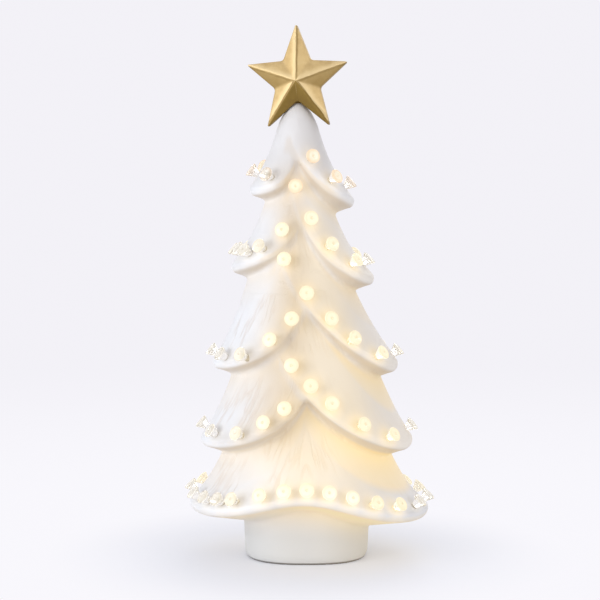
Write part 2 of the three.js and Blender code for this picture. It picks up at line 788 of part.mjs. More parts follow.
function ledCarrier() {
  let carrier = joined(
    longPlate(halfPitch, towerRadius, carrierBottom, carrierTop),
    ...[-1, 1].map((side) => (
      cylinder(bossRadius, carrierBottom, carrierTop, 0, side * bossY, roundSides)
    )),
  );
  [-1, 1].forEach((side) => {
    const hole = cylinder(screwRadius + fitClearance, carrierBottom - cutPast, carrierTop + cutPast, 0,
      side * bossY, holeSides);
    carrier = carrier.subtract(toSolid(hole));
  });
  return carrier;
}

function circuitBoard() {
  return toSolid(block(boardLength, boardWidth, boardBottom, boardTop));
}

function ledSolid(place) {
  const foot = boardTop + fitClearance;
  return toSolid(turned([
    [0, foot],
    [ledRadius + ledFlange, foot],
    [ledRadius + ledFlange, foot + ledFlangeHeight],
    [ledRadius, foot + ledFlangeHeight],
    [ledRadius, foot + ledHeight - ledRadius],
    [ledRadius * 0.8, foot + ledHeight - ledRadius * 0.4],
    [ledRadius * 0.4, foot + ledHeight - ledRadius * 0.08],
    [0, foot + ledHeight],
  ], ledSides).translate(place, 0, 0));
}

const switchBottom = flangeTop + fitClearance;

function switchBody() {
  const top = switchBottom + switchBodyHeight;
  const shell = block(switchLength, switchWidth, switchBottom, top, 0, switchPlace);
  const slot = block(switchTravel + knobLength + 2 * runningClearance, knobWidth + 2 * runningClearance,
    switchBottom - cutPast, switchBottom + switchBodyHeight / 2, 0, switchPlace);
  return toSolid(shell).subtract(toSolid(slot));
}

// The slider stands at its ON end, at +X.
function switchSlider() {
  const knobTop = switchBottom + switchBodyHeight / 2 - runningClearance;
  const place = switchTravel / 2;
  return toSolid(block(knobLength, knobWidth, baseRecess + knobRecess, knobTop, place, switchPlace));
}

function screwSolid(side) {
  const foot = towerTop - bossHeight + screwHoleFloor + screwTip;
  const seat = carrierTop + fitClearance;
  return toSolid(turned([
    [0, foot],
    [screwRadius, foot + screwTip],
    [screwRadius, seat],
    [screwHeadRadius, seat],
    [screwHeadRadius, seat + screwHeadHeight * 0.6],
    [screwHeadRadius * 0.6, seat + screwHeadHeight],
    [0, seat + screwHeadHeight],
  ], screwSides).translate(0, side * bossY, 0));
}

// A wire from the end of the board, down beside the tower, to the end of the switch.
function moduleWire(side) {
  const outward = halfPitch + towerRadius + 2.6;
  const boardEnd = boardLength / 2 + fitClearance;
  const height = (boardBottom + boardTop) / 2;
  const switchEnd = switchLength / 2 + fitClearance;
  const low = switchBottom + switchBodyHeight / 2;
  const points = [
    [boardEnd, 0, height], [boardEnd + 3.5, 0, height], [outward, -2, height - 5], [outward, -4, height - 16],
    [outward - 0.4, -6, height - 32], [outward - 0.6, -8, low + 10], [outward - 3, -13, low + 3],
    [outward - 8, switchPlace, low], [switchEnd, switchPlace, low],
  ];
  const route = points.map(([x, y, z]) => new THREE.Vector3(side * x, y, z));
  return toSolid(roundWire(route, wireRadius, wireSteps, wireSides));
}

function sealRing() {
  const [outer, inner] = [flangeRadius - fitClearance, baseOpening + fitClearance];
  const ring = cylinder(outer, sealBottom, sealBottom + sealThickness, 0, 0, baseSides);
  const bore = cylinder(inner, sealBottom - cutPast, sealBottom + sealThickness + cutPast, 0, 0, baseSides);
  return toSolid(ring).subtract(toSolid(bore));
}

// The assembly

const tree = new THREE.Group();

function addPiece(name, geometry, finish) {
  const mesh = new THREE.Mesh(geometry, finishes[finish]);
  mesh.name = name;
  tree.add(mesh);
}

addPiece('tree_body', toGeometry(treeBody()), 'porcelain');
addPiece('star', toGeometry(starBody()), 'gold');
addPiece('module_case', toGeometry(moduleCase()), 'casing');
addPiece('seal_ring', toGeometry(sealRing()), 'foam');
addPiece('battery_door', toGeometry(batteryDoor()), 'casing');
addPiece('door_bridge', toGeometry(doorBridge()), 'steel');
addPiece('cell_1', toGeometry(cellSolid(-1)), 'cell');
addPiece('cell_2', toGeometry(cellSolid(1)), 'cell');
addPiece('plus_contact', toGeometry(plusContact()), 'steel');
addPiece('minus_spring', toGeometry(minusSpring()), 'steel');
addPiece('led_carrier', toGeometry(ledCarrier()), 'casing');
addPiece('circuit_board', toGeometry(circuitBoard()), 'board');
ledPlaces.forEach((place, i) => {
  addPiece(`led_${i + 1}`, toGeometry(ledSolid(place)), 'led');
});
addPiece('switch_body', toGeometry(switchBody()), 'dark');
addPiece('switch_slider', toGeometry(switchSlider()), 'dark');
addPiece('wire_red', toGeometry(moduleWire(1)), 'red');
addPiece('wire_black', toGeometry(moduleWire(-1)), 'dark');
addPiece('screw_1', toGeometry(screwSolid(-1)), 'steel');
addPiece('screw_2', toGeometry(screwSolid(1)), 'steel');
pegSeats.filter((seat) => seat.inFront).forEach((seat, i) => {
  const name = `light_peg_${String(i + 1).padStart(2, '0')}`;
  addPiece(name, closedGeometry(aimed(pegGeometry(), seat)), 'clear');
});

export default tree;
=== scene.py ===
import math

import bpy
import numpy as np
from mathutils import Matrix, Vector

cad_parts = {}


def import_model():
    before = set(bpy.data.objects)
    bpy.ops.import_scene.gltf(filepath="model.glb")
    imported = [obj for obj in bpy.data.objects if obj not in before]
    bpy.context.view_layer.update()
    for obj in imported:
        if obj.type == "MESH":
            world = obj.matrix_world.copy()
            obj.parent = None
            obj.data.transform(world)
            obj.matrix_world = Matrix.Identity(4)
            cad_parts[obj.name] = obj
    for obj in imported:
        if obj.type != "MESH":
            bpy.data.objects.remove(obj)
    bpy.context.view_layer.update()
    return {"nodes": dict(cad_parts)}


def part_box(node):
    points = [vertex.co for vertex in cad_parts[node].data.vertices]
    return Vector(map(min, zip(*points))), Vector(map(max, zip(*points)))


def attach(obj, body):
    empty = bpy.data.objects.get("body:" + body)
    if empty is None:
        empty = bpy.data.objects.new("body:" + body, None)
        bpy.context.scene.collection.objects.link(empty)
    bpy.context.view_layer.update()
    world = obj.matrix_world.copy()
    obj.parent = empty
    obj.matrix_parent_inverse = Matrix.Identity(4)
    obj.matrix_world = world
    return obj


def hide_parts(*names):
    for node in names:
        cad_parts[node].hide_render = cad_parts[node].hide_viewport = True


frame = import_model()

# Sizes of the tree, in millimetres: those of the solids, and a few that only ease the drawn shapes
MM = 0.001
CROWN_HEIGHT = 232
CROWN_LEAN, LEAN_START, LEAN_END = 4.4, 80, 160
LIP_BULGE, LIP_BULGE_HEIGHT, LIP_EASE_HEIGHT = 2.2, 7, 11
LIP_ROLL, LIP_DEPTH, LIP_REACH = 1.5, 5.5, 10
TUCK_DEPTH, LEAD_RAISE = 1.4, 0.8
SWAG_STEP, SWAG_OVERLAP = 12, 48
TIP_ROUNDING, CROWN_POINT = 10, 14
TRUNK_HALF, TRUNK_FOOT_HALF, TRUNK_TOP = 32.4, 29.4, 45
TRUNK_EDGE, TRUNK_TAPER, TRUNK_SQUARENESS = 5, 0.8, 2.5
FIT = 0.3

# Each tier's first lines shape it as in the solids; bearings are in degrees from the front.
# fuller and shorter say how much wider and higher its lip is drawn, root where its skin starts,
# and melt up to which bearing a swag's upper edge melts into the tier below it.
# lit, carve, shine, spread and shade set its pegs' light, its strokes, the glow under its lip,
# how far that glow reaches down, and the shadow there.
TIERS = [
    dict(lip=25.8, hem=183, core=0, flare=36, top=CROWN_HEIGHT, tilt=3.1,
         lead_start=-18, lead_rise=31, lead_span=125, lead_power=2,
         valley=0, trail_rise=24, trail_fade=22, peg_lift=7.2,
         pegs=([21, 47, 88, 141], [21, 47, 88, 141]),
         fuller=1.2, shorter=0, root=CROWN_HEIGHT, melt=44,
         lit=0.6, carve=0.05, shine=0.75, spread=16, shade=1),
    dict(lip=37.3, hem=142, core=4, flare=38, top=206, tilt=2.5,
         lead_start=-16, lead_rise=52, lead_span=98, lead_power=2,
         valley=0, trail_rise=27, trail_fade=38, peg_lift=7.2,
         pegs=([-3, 15.5, 33, 53, 88, 122, 136, 150, 165],
               [-3, 15.5, 33, 48, 88, 110, 124.5, 142, 163]),
         fuller=1.2, shorter=0.5, root=212, melt=30,
         lit=0.9, carve=0.15, shine=0.8, spread=28, shade=1),
    dict(lip=49.2, hem=94.5, core=8, flare=54, top=168, tilt=0,
         lead_start=-28, lead_rise=64, lead_span=100, lead_power=1.5,
         valley=6, trail_rise=36, trail_fade=27, peg_lift=7.2,
         pegs=([-14, 6, 22.5, 36, 54, 88, 124, 140, 157, 172.5],
               [-14, 6, 22.5, 36, 50, 88, 118, 138, 157, 172.5]),
         fuller=2.3, shorter=3.2, root=176, melt=4,
         lit=1, carve=0.8, shine=1, spread=36, shade=1),
    dict(lip=54.8, hem=57, core=20, flare=48, top=125, tilt=0,
         lead_start=-22, lead_rise=48, lead_span=95, lead_power=1.9,
         valley=1, trail_rise=30, trail_fade=23, peg_lift=7.2,
         pegs=([-9.5, 3, 15.5, 33, 51, 86, 124, 141, 155, 166.5],
               [-9.5, 3, 15.5, 33, 48, 86, 118, 140, 155, 166.5]),
         fuller=2.4, shorter=2, root=136, melt=3,
         lit=1, carve=0.9, shine=1, spread=45, shade=1),
]
SKIRT = dict(lip=60.5, hem=25.5, core=25, flare=40, top=84, tilt=1.6,
             lift_rise=11, lift_span=36, peg_lift=4.4,
             pegs=([0, 11.4, 22.8, 35.3, 49, 65.7, 84, 108, 121.4, 132, 141, 156, 168.4],) * 2,
             fuller=0.6, shorter=0, root=94,
             lit=1, carve=1, shine=1, spread=13, shade=0.2)
SWAG_TURNS = (0, 180)
FRONT_ARC = 60

PEG_STEM, PEG_STEM_LENGTH = 1.5, 4.5
PEG_HEAD, PEG_HEAD_HEIGHT = 3.7, 4
PEG_STANDOFF, PEG_FRONT_TILT, PEG_SIDE_DROP = 0.5, 0.4, 2.8
PEG_GIRDLE, PEG_CROWN, PEG_BORE = 0.6, 0.5, 5.5
BORE_PLAY, BORE_MOUTH = 0.2, 3

STAR_RADIUS, STAR_WAIST, STAR_HALF_DEPTH = 27.8, 12.2, 7.5
STAR_HALF_EDGE, STAR_FORWARD = 2, 3.5
STAR_HEIGHT, STAR_TURN, STAR_YAW = 242.2, 1.5, -10
STAR_STEM, STAR_STEM_LENGTH = 2.4, 8.5
STAR_EASE, STAR_NARROW, STAR_NOTCH = 1.1, 0.95, 9.6

BASE_RECESS_TOP, BASE_RECESS_RADIUS = 4.4, 26.3
BASE_OPENING, SHOULDER_TOP = 22.6, 7.4

# The lip's curl as steps in from its edge and up from its hem
LIP_CURL = [(0, 0.2), (0.2, -1), (0.9, -2.1), (2, -2.8), (3.5, -3.1)]
FACE_LEVELS, SECTION_STEP, TRUNK_SIDES = 34, 3, 72

# The hollow inside as [radius, height] points, from the foot to the crown
CHAMBER_RIM, CHAMBER_WALL = 27, 27.6
CHAMBER = [(CHAMBER_WALL, 40), (30, 50), (31, 62), (29.5, 80), (27, 98), (24.5, 112), (21, 130),
           (16.5, 150), (11.5, 172), (7, 195), (3, 208), (0, 212)]

VOXEL, FOOT_SAG = 0.9, 0.35
WAVE_DEPTH = 0.06

# For the light and shade on the porcelain: the drawing's half width at the foot and what it loses
# for each millimetre of height, how far off a swag's face a point may lie, the halo round a lit
# peg and the depth of the painted golden glow under a lip
HALF_WIDTH, WIDTH_LOST, FACE_SLACK = 62, 0.2, 1.8
HALO_REACH, GOLDEN_GLOW_DEPTH = 5.5, 5


# Shader helpers

class Wire:
    """A socket that can be added to, multiplied and so on, as a number can."""

    def __init__(self, finish, socket):
        self.finish = finish
        self.socket = socket

    def _math(self, operation, first, second=None):
        values = {0: first} if second is None else {0: first, 1: second}
        return self.finish.node("Math", dict(operation=operation), values)

    def __add__(self, other): return self._math("ADD", self, other)
    def __radd__(self, other): return self._math("ADD", other, self)
    def __sub__(self, other): return self._math("SUBTRACT", self, other)
    def __rsub__(self, other): return self._math("SUBTRACT", other, self)
    def __mul__(self, other): return self._math("MULTIPLY", self, other)
    def __rmul__(self, other): return self._math("MULTIPLY", other, self)
    def __truediv__(self, other): return self._math("DIVIDE", self, other)
    def __neg__(self): return self._math("MULTIPLY", self, -1)
    def __abs__(self): return self._math("ABSOLUTE", self)
    def root(self): return self._math("SQRT", self)
    def low(self, other): return self._math("MINIMUM", self, other)
    def high(self, other): return self._math("MAXIMUM", self, other)

    def rise(self, start, end, low=0.0, high=1.0):
        """Smooth step from low at start to high at end."""
        return self.finish.node(
            "MapRange", dict(interpolation_type="SMOOTHSTEP"),
            {"Value": self, "From Min": start, "From Max": end, "To Min": low, "To Max": high})


class Graph:
    """The nodes of a material or of the world, which end in one output."""

    def __init__(self, owner, output):
        owner.use_nodes = True
        self.tree = owner.node_tree
        self.tree.nodes.clear()
        self.output = self.tree.nodes.new("ShaderNode" + output)

    def show(self, surface):
        self.put(self.output.inputs["Surface"], surface)

    def put(self, socket, value):
        if isinstance(value, Wire):
            self.tree.links.new(value.socket, socket)
        elif isinstance(value, (tuple, list)) and len(value) == 3 and socket.type == "RGBA":
            socket.default_value = (*value, 1)
        else:
            socket.default_value = value

    def node(self, kind, settings=None, inputs=None, output=0):
        """Adds a node: its settings first, then the values or wires of its sockets."""
        made = self.tree.nodes.new("ShaderNode" + kind)
        for name, value in (settings or {}).items():
            setattr(made, name, value)
        for name, value in (inputs or {}).items():
            self.put(made.inputs[name], value)
        return Wire(self, made.outputs[output])

    def place(self):
        """Object coordinates as a vector and as X, Y and Z."""
        vector = self.node("TexCoord", output="Object")
        return (vector, *self.parts(vector))

    def parts(self, vector):
        return [self.node("SeparateXYZ", inputs={0: vector}, output=i) for i in range(3)]

    def vector(self, x, y, z):
        return self.node("CombineXYZ", inputs={0: x, 1: y, 2: z})

    def clouds(self, vector, scale, detail=2.0, rough=0.5):
        return self.node("TexNoise", inputs={
            "Vector": vector, "Scale": scale, "Detail": detail, "Roughness": rough})

    def mix(self, factor, first, second):
        return self.node("Mix", dict(data_type="RGBA"), {0: factor, 6: first, 7: second}, output=2)

    def seen(self):
        """One for a ray from the camera, or one that it gets by a reflection or through glass."""
        camera, glossy, through = [self.node("LightPath", output=f"Is {kind} Ray")
                                   for kind in ("Camera", "Glossy", "Transmission")]
        return camera.high(glossy).high(through)

    def bump(self, height, distance, strength=1.0):
        return self.node("Bump", inputs={"Height": height, "Distance": distance, "Strength": strength})


class Finish(Graph):
    """A material with one Principled shader and the nodes that feed it."""

    def __init__(self, name, **constants):
        self.material = bpy.data.materials.new(name)
        super().__init__(self.material, "OutputMaterial")
        self.shader = self.tree.nodes.new("ShaderNodeBsdfPrincipled")
        self.surface = Wire(self, self.shader.outputs[0])
        self.show(self.surface)
        self.feed(**constants)

    def feed(self, **links):
        for name, value in links.items():
            self.put(self.shader.inputs[name.replace("_", " ")], value)


# Modelling helpers

def alone(piece):
    """Selects this piece and nothing else."""
    if bpy.context.mode != "OBJECT":
        bpy.ops.object.mode_set(mode="OBJECT")
    bpy.ops.object.select_all(action="DESELECT")
    piece.select_set(True)
    bpy.context.view_layer.objects.active = piece


def named(name):
    piece = bpy.context.active_object
    piece.name = piece.data.name = name
    return piece


def edit(select="ALL"):
    bpy.ops.object.mode_set(mode="EDIT")
    bpy.ops.mesh.select_mode(type="VERT")
    bpy.ops.mesh.select_all(action="SELECT" if select == "ALL" else "DESELECT")


def done():
    bpy.ops.object.mode_set(mode="OBJECT")


def modify(piece, kind, **settings):
    alone(piece)
    modifier = piece.modifiers.new(kind.lower(), kind)
    for name, value in settings.items():
        setattr(modifier, name, value)
    bpy.ops.object.modifier_apply(modifier=modifier.name)


def cut(piece, tool, operation="DIFFERENCE"):
    modify(piece, "BOOLEAN", operation=operation, object=tool, solver="MANIFOLD")
    bpy.data.objects.remove(tool)


def join(pieces):
    alone(pieces[0])
    for piece in pieces:
        piece.select_set(True)
    bpy.ops.object.join()
    return bpy.context.active_object


def smooth(piece, angle=None):
    alone(piece)
    if angle is None:
        bpy.ops.object.shade_smooth()
    else:
        bpy.ops.object.shade_smooth_by_angle(angle=math.radians(angle))


def dress(piece, finish, body="tree", replaces=()):
    piece.data.materials.clear()
    piece.data.materials.append(finish.material)
    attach(piece, body)
    if replaces:
        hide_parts(*replaces)
    return piece


def lathe(name, profile, steps, centre=(0, 0)):
    """Spins a profile of [radius, height] points, in mm, round an upright axis."""
    bpy.ops.mesh.primitive_circle_add(vertices=len(profile), fill_type="NOTHING")
    piece = named(name)
    for vertex, (radius, height) in zip(piece.data.vertices, profile):
        vertex.co = (radius * MM, 0, height * MM)
    last = {0, len(profile) - 1}
    edit("NONE")
    done()
    for edge in piece.data.edges:
        edge.select = set(edge.vertices) == last
    bpy.ops.object.mode_set(mode="EDIT")
    bpy.ops.mesh.select_mode(type="EDGE")
    bpy.ops.mesh.delete(type="EDGE")
    bpy.ops.mesh.select_mode(type="VERT")
    bpy.ops.mesh.select_all(action="SELECT")
    bpy.ops.mesh.spin(steps=steps, angle=2 * math.pi, center=(0, 0, 0), axis=(0, 0, 1))
    bpy.ops.mesh.select_all(action="SELECT")
    bpy.ops.mesh.remove_doubles(threshold=1e-6)
    bpy.ops.mesh.normals_make_consistent(inside=False)
    done()
    piece.data.transform(Matrix.Translation((centre[0] * MM, centre[1] * MM, 0)))
    return piece


def skin(name, rows):
    """A grid whose rows are moved onto these sections, in mm, welded where they meet."""
    across, along = len(rows[0]), len(rows)
    bpy.ops.mesh.primitive_grid_add(x_subdivisions=across - 1, y_subdivisions=along - 1)
    piece = named(name)
    points = [point for row in rows for point in row]
    for vertex, point in zip(piece.data.vertices, points):
        vertex.co = point * MM
    edit()
    bpy.ops.mesh.remove_doubles(threshold=1e-7)
    bpy.ops.mesh.select_all(action="DESELECT")
    bpy.ops.mesh.select_non_manifold(extend=False, use_wire=False, use_boundary=True,
                                     use_multi_face=False, use_non_contiguous=False, use_verts=False)
    bpy.ops.mesh.fill_holes(sides=0)
    bpy.ops.mesh.select_all(action="SELECT")
    bpy.ops.mesh.normals_make_consistent(inside=False)
    done()
    return piece


# The porcelain's surface, as in the solids

def step(value, start, end):
    share = np.clip((value - start) / (end - start), 0.0, 1.0)
    return share * share * (3 - 2 * share)


def lean_at(height):
    return -CROWN_LEAN * step(height, LEAN_START, LEAN_END)


def place_on(radius, bearing, height):
    turn = math.radians(bearing)
    return Vector((radius * math.sin(turn) + lean_at(height), -radius * math.cos(turn), height))


def polar(points):
    """Each point's height, its place across the leaning axis, its bearing and its reach from it."""
    height = points[:, 2]
    across = points[:, 0] - lean_at(height)
    return height, across, np.degrees(np.arctan2(across, -points[:, 1])), np.hypot(across, points[:, 1])


def swag_hem(tier, bearing, turn):
    from_lead = np.maximum(0.0, 1 - (bearing - tier["lead_start"]) / tier["lead_span"])
    lead = tier["lead_rise"] * from_lead ** tier["lead_power"]
    trail = tier["trail_rise"] * np.exp((bearing - tier["valley"] - 180) / tier["trail_fade"])
    tilt = tier["tilt"] * np.sin(np.radians(bearing + turn))
    return np.minimum(tier["hem"] + lead + trail - tilt, tier["top"] - TIP_ROUNDING - LIP_BULGE_HEIGHT)


def skirt_hem(bearing):
    side = np.degrees(np.arcsin(np.sin(np.radians(bearing))))
    lift = SKIRT["lift_rise"] * np.exp(-(side / SKIRT["lift_span"]) ** 2)
    return SKIRT["hem"] + lift - SKIRT["tilt"] * np.sin(np.radians(bearing))


def hem_of(tier, bearing, turn):
    return skirt_hem(bearing) if tier is SKIRT else swag_hem(tier, bearing, turn)


def drawn_hem(tier, bearing, turn):
    """The hem as the photo shows it, a little shorter than in the solids."""
    near_valley = 0.0 if tier is SKIRT else step(bearing, 120, 165) * (1 - tucked(tier, bearing))
    return hem_of(tier, bearing, turn) + tier["shorter"] * (1 + 0.6 * near_valley)


def tucked(tier, bearing):
    if tier is SKIRT:
        return 0.0
    return step(bearing, tier["valley"] + 180 - SWAG_STEP, tier["valley"] + 180 + SWAG_STEP)


def raised(tier, bearing):
    if tier is SKIRT:
        return 0.0
    past = bearing - tier["lead_start"]
    return LEAD_RAISE * np.minimum(1.0, past / SWAG_STEP) * (1 - step(past, 60, 150))


def tier_radius(tier, bearing, hem, height, fuller=0.0, bulge_height=LIP_BULGE_HEIGHT):
    lip = tier["lip"] + fuller
    flare = tier["core"] + (lip - tier["core"]) * np.exp(-(height - tier["hem"]) / tier["flare"])
    under = tucked(tier, bearing)
    bulge = (LIP_BULGE - fuller) * (1 - under) * np.exp(-((height - hem) / bulge_height) ** 2)
    over = np.maximum(0.0, height - (CROWN_HEIGHT - CROWN_POINT)) / CROWN_POINT
    rounding = np.sqrt(np.maximum(0.0, 1 - over * over))
    return (flare + bulge + raised(tier, bearing) - TUCK_DEPTH * under) * rounding


def section(tier, bearing, turn):
    """One section of a tier from the axis at its top, down its face, round its lip and back."""
    hem = drawn_hem(tier, bearing, turn)
    bottom = hem + LIP_ROLL
    top = tier["root"]
    points = [(0, top)]
    fuller, ease = tier["fuller"], LIP_BULGE_HEIGHT if tier is SKIRT else LIP_EASE_HEIGHT
    for i in range(FACE_LEVELS + 1):
        share = 1 - i / FACE_LEVELS
        share = 1 - (1 - share) ** 1.4 if top == CROWN_HEIGHT else share ** 1.5
        height = bottom + (top - bottom) * share
        points.append((tier_radius(tier, bearing, hem, height, fuller, ease), height))
    lip = tier_radius(tier, bearing, hem, bottom)
    points += [(lip - inward, hem + up) for inward, up in LIP_CURL]
    if tier is SKIRT:
        points += [(TRUNK_HALF + 4, hem - 7), (TRUNK_HALF - 3, hem - 9), (0, tier["hem"] - 12)]
    else:
        reach = min(LIP_REACH, lip * 0.6)
        points += [(lip - reach, hem - LIP_DEPTH), (lip - 1.35 * reach, hem - LIP_DEPTH - LIP_ROLL),
                   (0, tier["hem"] - LIP_DEPTH - 2 * LIP_ROLL)]
    return [place_on(radius, bearing + turn, height) for radius, height in points]


def soft_square(half, height):
    """A closed superellipse ring."""
    ring = []
    power = 2 / TRUNK_SQUARENESS
    for i in range(TRUNK_SIDES):
        turn = 2 * math.pi * i / TRUNK_SIDES
        across, deep = math.cos(turn), math.sin(turn)
        ring.append(Vector((math.copysign(abs(across) ** power, across) * half,
                            math.copysign(abs(deep) ** power, deep) * half, height)))
    return ring + ring[:1]


def trunk_rings():
    lower = TRUNK_HALF - TRUNK_TAPER
    rings = []
    for i in range(7):
        turn = math.radians(15 * i)
        half = TRUNK_FOOT_HALF + (lower - TRUNK_FOOT_HALF) * math.sin(turn)
        rings.append(soft_square(half, TRUNK_EDGE * (1 - math.cos(turn))))
    for i in range(1, 9):
        height = TRUNK_EDGE + (TRUNK_TOP - TRUNK_EDGE) * i / 8
        rings.append(soft_square(lower + TRUNK_TAPER * min(1, i / 4), height))
    return rings


def peg_seat(tier, bearing, turn):
    hem = hem_of(tier, bearing, turn)
    drop = 0 if tier is SKIRT else PEG_SIDE_DROP * math.sin(math.radians(2 * bearing)) ** 4
    height = hem + tier["peg_lift"] - drop

    def face(at, up):
        return place_on(tier_radius(tier, at, hem, up), at + turn, up)

    along = face(bearing + 1, height) - face(bearing - 1, height)
    upward = face(bearing, height + 1) - face(bearing, height - 1)
    facing = along.cross(upward).normalized()
    facing.z *= PEG_FRONT_TILT + (1 - PEG_FRONT_TILT) * math.sin(math.radians(bearing)) ** 4
    facing.normalize()
    return face(bearing, height) + facing * PEG_STANDOFF, facing


def all_peg_seats():
    """Each peg's seat, the way it faces, whether it stands in front, and how brightly it is lit."""
    seats = []
    for tier in [*TIERS, SKIRT]:
        for swag, turn in enumerate(SWAG_TURNS):
            for bearing in tier["pegs"][swag]:
                local = bearing + turn if tier is SKIRT else bearing
                seat, facing = peg_seat(tier, local, 0 if tier is SKIRT else turn)
                side = (bearing + turn + 180) % 360 - 180
                lit = tier["lit"] * (0.3 + 0.7 * step(side, -52, -12)) * (1 - step(abs(side), 52, 66))
                lit = max(lit, 0.3 + 0.4 * step(abs(side), 95, 125))
                seats.append((seat, facing, abs(side) <= FRONT_ARC, lit))
    return seats


def all_swags():
    """Every swag's tier and turn, from the top down, and last the skirt, which is one ring."""
    return [(tier, turn) for tier in TIERS for turn in SWAG_TURNS] + [(SKIRT, 0)]


def broad_glow(wide, height):
    """The light that comes through the whole wall, most of it right of the middle."""
    sides = step(wide, -0.85 + 0.3 * step(height, 110, 160), 0.0) * (1 - 0.5 * step(wide, 0.45, 0.9))
    return 0.6 * sides * step(height, 16, 60) * step(height, 205, 150)


def centre_shade(wide, height):
    """Painted shade in a band up the middle, further left on the lower tiers."""
    centre = -0.12 - 0.16 * step(height, 125, 95)
    return step(height, 45, 72) * step(height, 208, 190) * np.exp(-((wide - centre) / 0.32) ** 2)


def rim_shade(wide, above):
    """Slight painted shade along a lip, left of the middle."""
    return 0.38 * step(above, 9, 2) * step(above, -3, 0) * step(wide, -1.05, -0.8) * step(wide, 0.15, -0.2)


def peg_halo(points):
    """How near each point is to a lit peg."""
    halo = np.zeros(len(points))
    for seat, _, in_front, lit in PEG_SEATS:
        away = np.linalg.norm(points - np.array(seat), axis=1)
        halo = np.maximum(halo, (lit if in_front else 0.5 * lit) * np.exp(-(away / HALO_REACH) ** 2))
    return halo


def marks(points):
    """Five numbers for each point: the share of brushed strokes, of glow from within, of the lip's
    underside, of the shade under a lip or between swags, and how near it is to a lit peg."""
    height, across, bearing, reach = polar(points)
    front = step(points[:, 1], 8, -8)
    carve, glow, nose, shade = np.zeros((4, len(points)))
    closest = np.full(len(points), FACE_SLACK)
    wide = across / (HALF_WIDTH - WIDTH_LOST * height)
    behind = step(points[:, 1], -6, 12)
    right = step(wide, -0.7, 0.1) * (1 - behind) + 0.75 * behind
    for tier, turn in all_swags():
        start = tier.get("lead_start", 0)
        local = bearing if tier is SKIRT else (bearing - turn - start) % 360 + start
        hem = drawn_hem(tier, local, turn)
        here = (local < start + 180 + SWAG_OVERLAP) & (tucked(tier, local) < 0.5)
        above = height - hem
        off = np.abs(reach - tier_radius(tier, local, hem, height))
        on_it = here & (off < closest) & (above > -0.5)
        carve[on_it] = (tier["carve"] * step(above, 1.5, 9) * (1 - step(above, 30, 60)))[on_it]
        closest[on_it] = off[on_it]
        if tier in TIERS[2:]:
            shade[on_it] = np.maximum(shade, rim_shade(wide, above))[on_it]
        lip = tier_radius(tier, local, hem, hem)
        overhang = step(lip - reach, 0, 5)
        spread = tier["spread"] * (0.4 + 0.6 * right)
        below = np.minimum(0, above + 3)
        shine = tier["shine"] * (0.4 + 0.6 * right) * overhang * np.exp(below / spread)
        # Painted glow: a golden band just under each overhanging lip, fading out at the far left edge.
        gold = 0.7 * step(wide, -1.0, -0.7) * overhang * np.exp(below / GOLDEN_GLOW_DEPTH)
        glow = np.where(here & (above < 0), np.maximum(glow, np.maximum(shine, gold)), glow)
        under = step(above, -1, -2.5) * step(above, -9, -5)
        under = under * step(lip - reach, 11, 7) * step(reach - lip, 2, 1)
        nose = np.where(here, np.maximum(nose, tier["shade"] * under), nose)
        dusk = step(above, -1.2, -2.8) * np.exp(-(below / (1.8 + 0.8 * right)) ** 2)
        shade = np.where(here, np.maximum(shade, tier["shade"] * dusk * step(lip - reach, 0.4, 2.5)), shade)
    glow = np.maximum(glow, broad_glow(wide, height) * front)
    shade = np.maximum(shade, centre_shade(wide, height) * front)
    shade = np.maximum(shade, 0.5 * softness(points, (1, -3), (-12, -6)))
    carve *= 1 - 0.8 * step(across * (1 - 2 * behind), 0, 26)
    return dict(carve=carve, glow=glow, nose=nose, shade=shade, halo=peg_halo(points))


def softness(points, top=(16, 8), bottom=(-16, -8)):
    """How near each point lies to a swag's upper leading edge, which melts into the tier below,
    between two heights over its hem."""
    height, _, bearing, reach = polar(points)
    soft = np.zeros(len(points))
    for tier in TIERS:
        for turn in SWAG_TURNS:
            start = tier["lead_start"]
            local = (bearing - turn - start + 20) % 360 + start - 20
            hem = drawn_hem(tier, np.maximum(local, start), turn)
            above = height - hem
            lip = tier_radius(tier, np.maximum(local, start), hem, hem)
            near = step(above, *top) * step(above, *bottom) * step(np.abs(reach - lip), 9, 5)
            along = step(local, start - 18, start - 6) * step(local, tier["melt"] + 16, tier["melt"])
            soft = np.maximum(soft, near * along)
    return soft


def note(piece, name, values):
    """Keeps one number for each corner of the piece, for its finish to read."""
    kept = piece.data.attributes.new(name, "FLOAT", "POINT")
    kept.data.foreach_set("value", values.astype(np.float32))


def corners(piece):
    """The places of a piece's vertices, in mm."""
    points = np.empty(len(piece.data.vertices) * 3)
    piece.data.vertices.foreach_get("co", points)
    return points.reshape(-1, 3) / MM


PEG_SEATS = all_peg_seats()
STAR_X = lean_at(CROWN_HEIGHT - TIP_ROUNDING / 3)


# Finishes

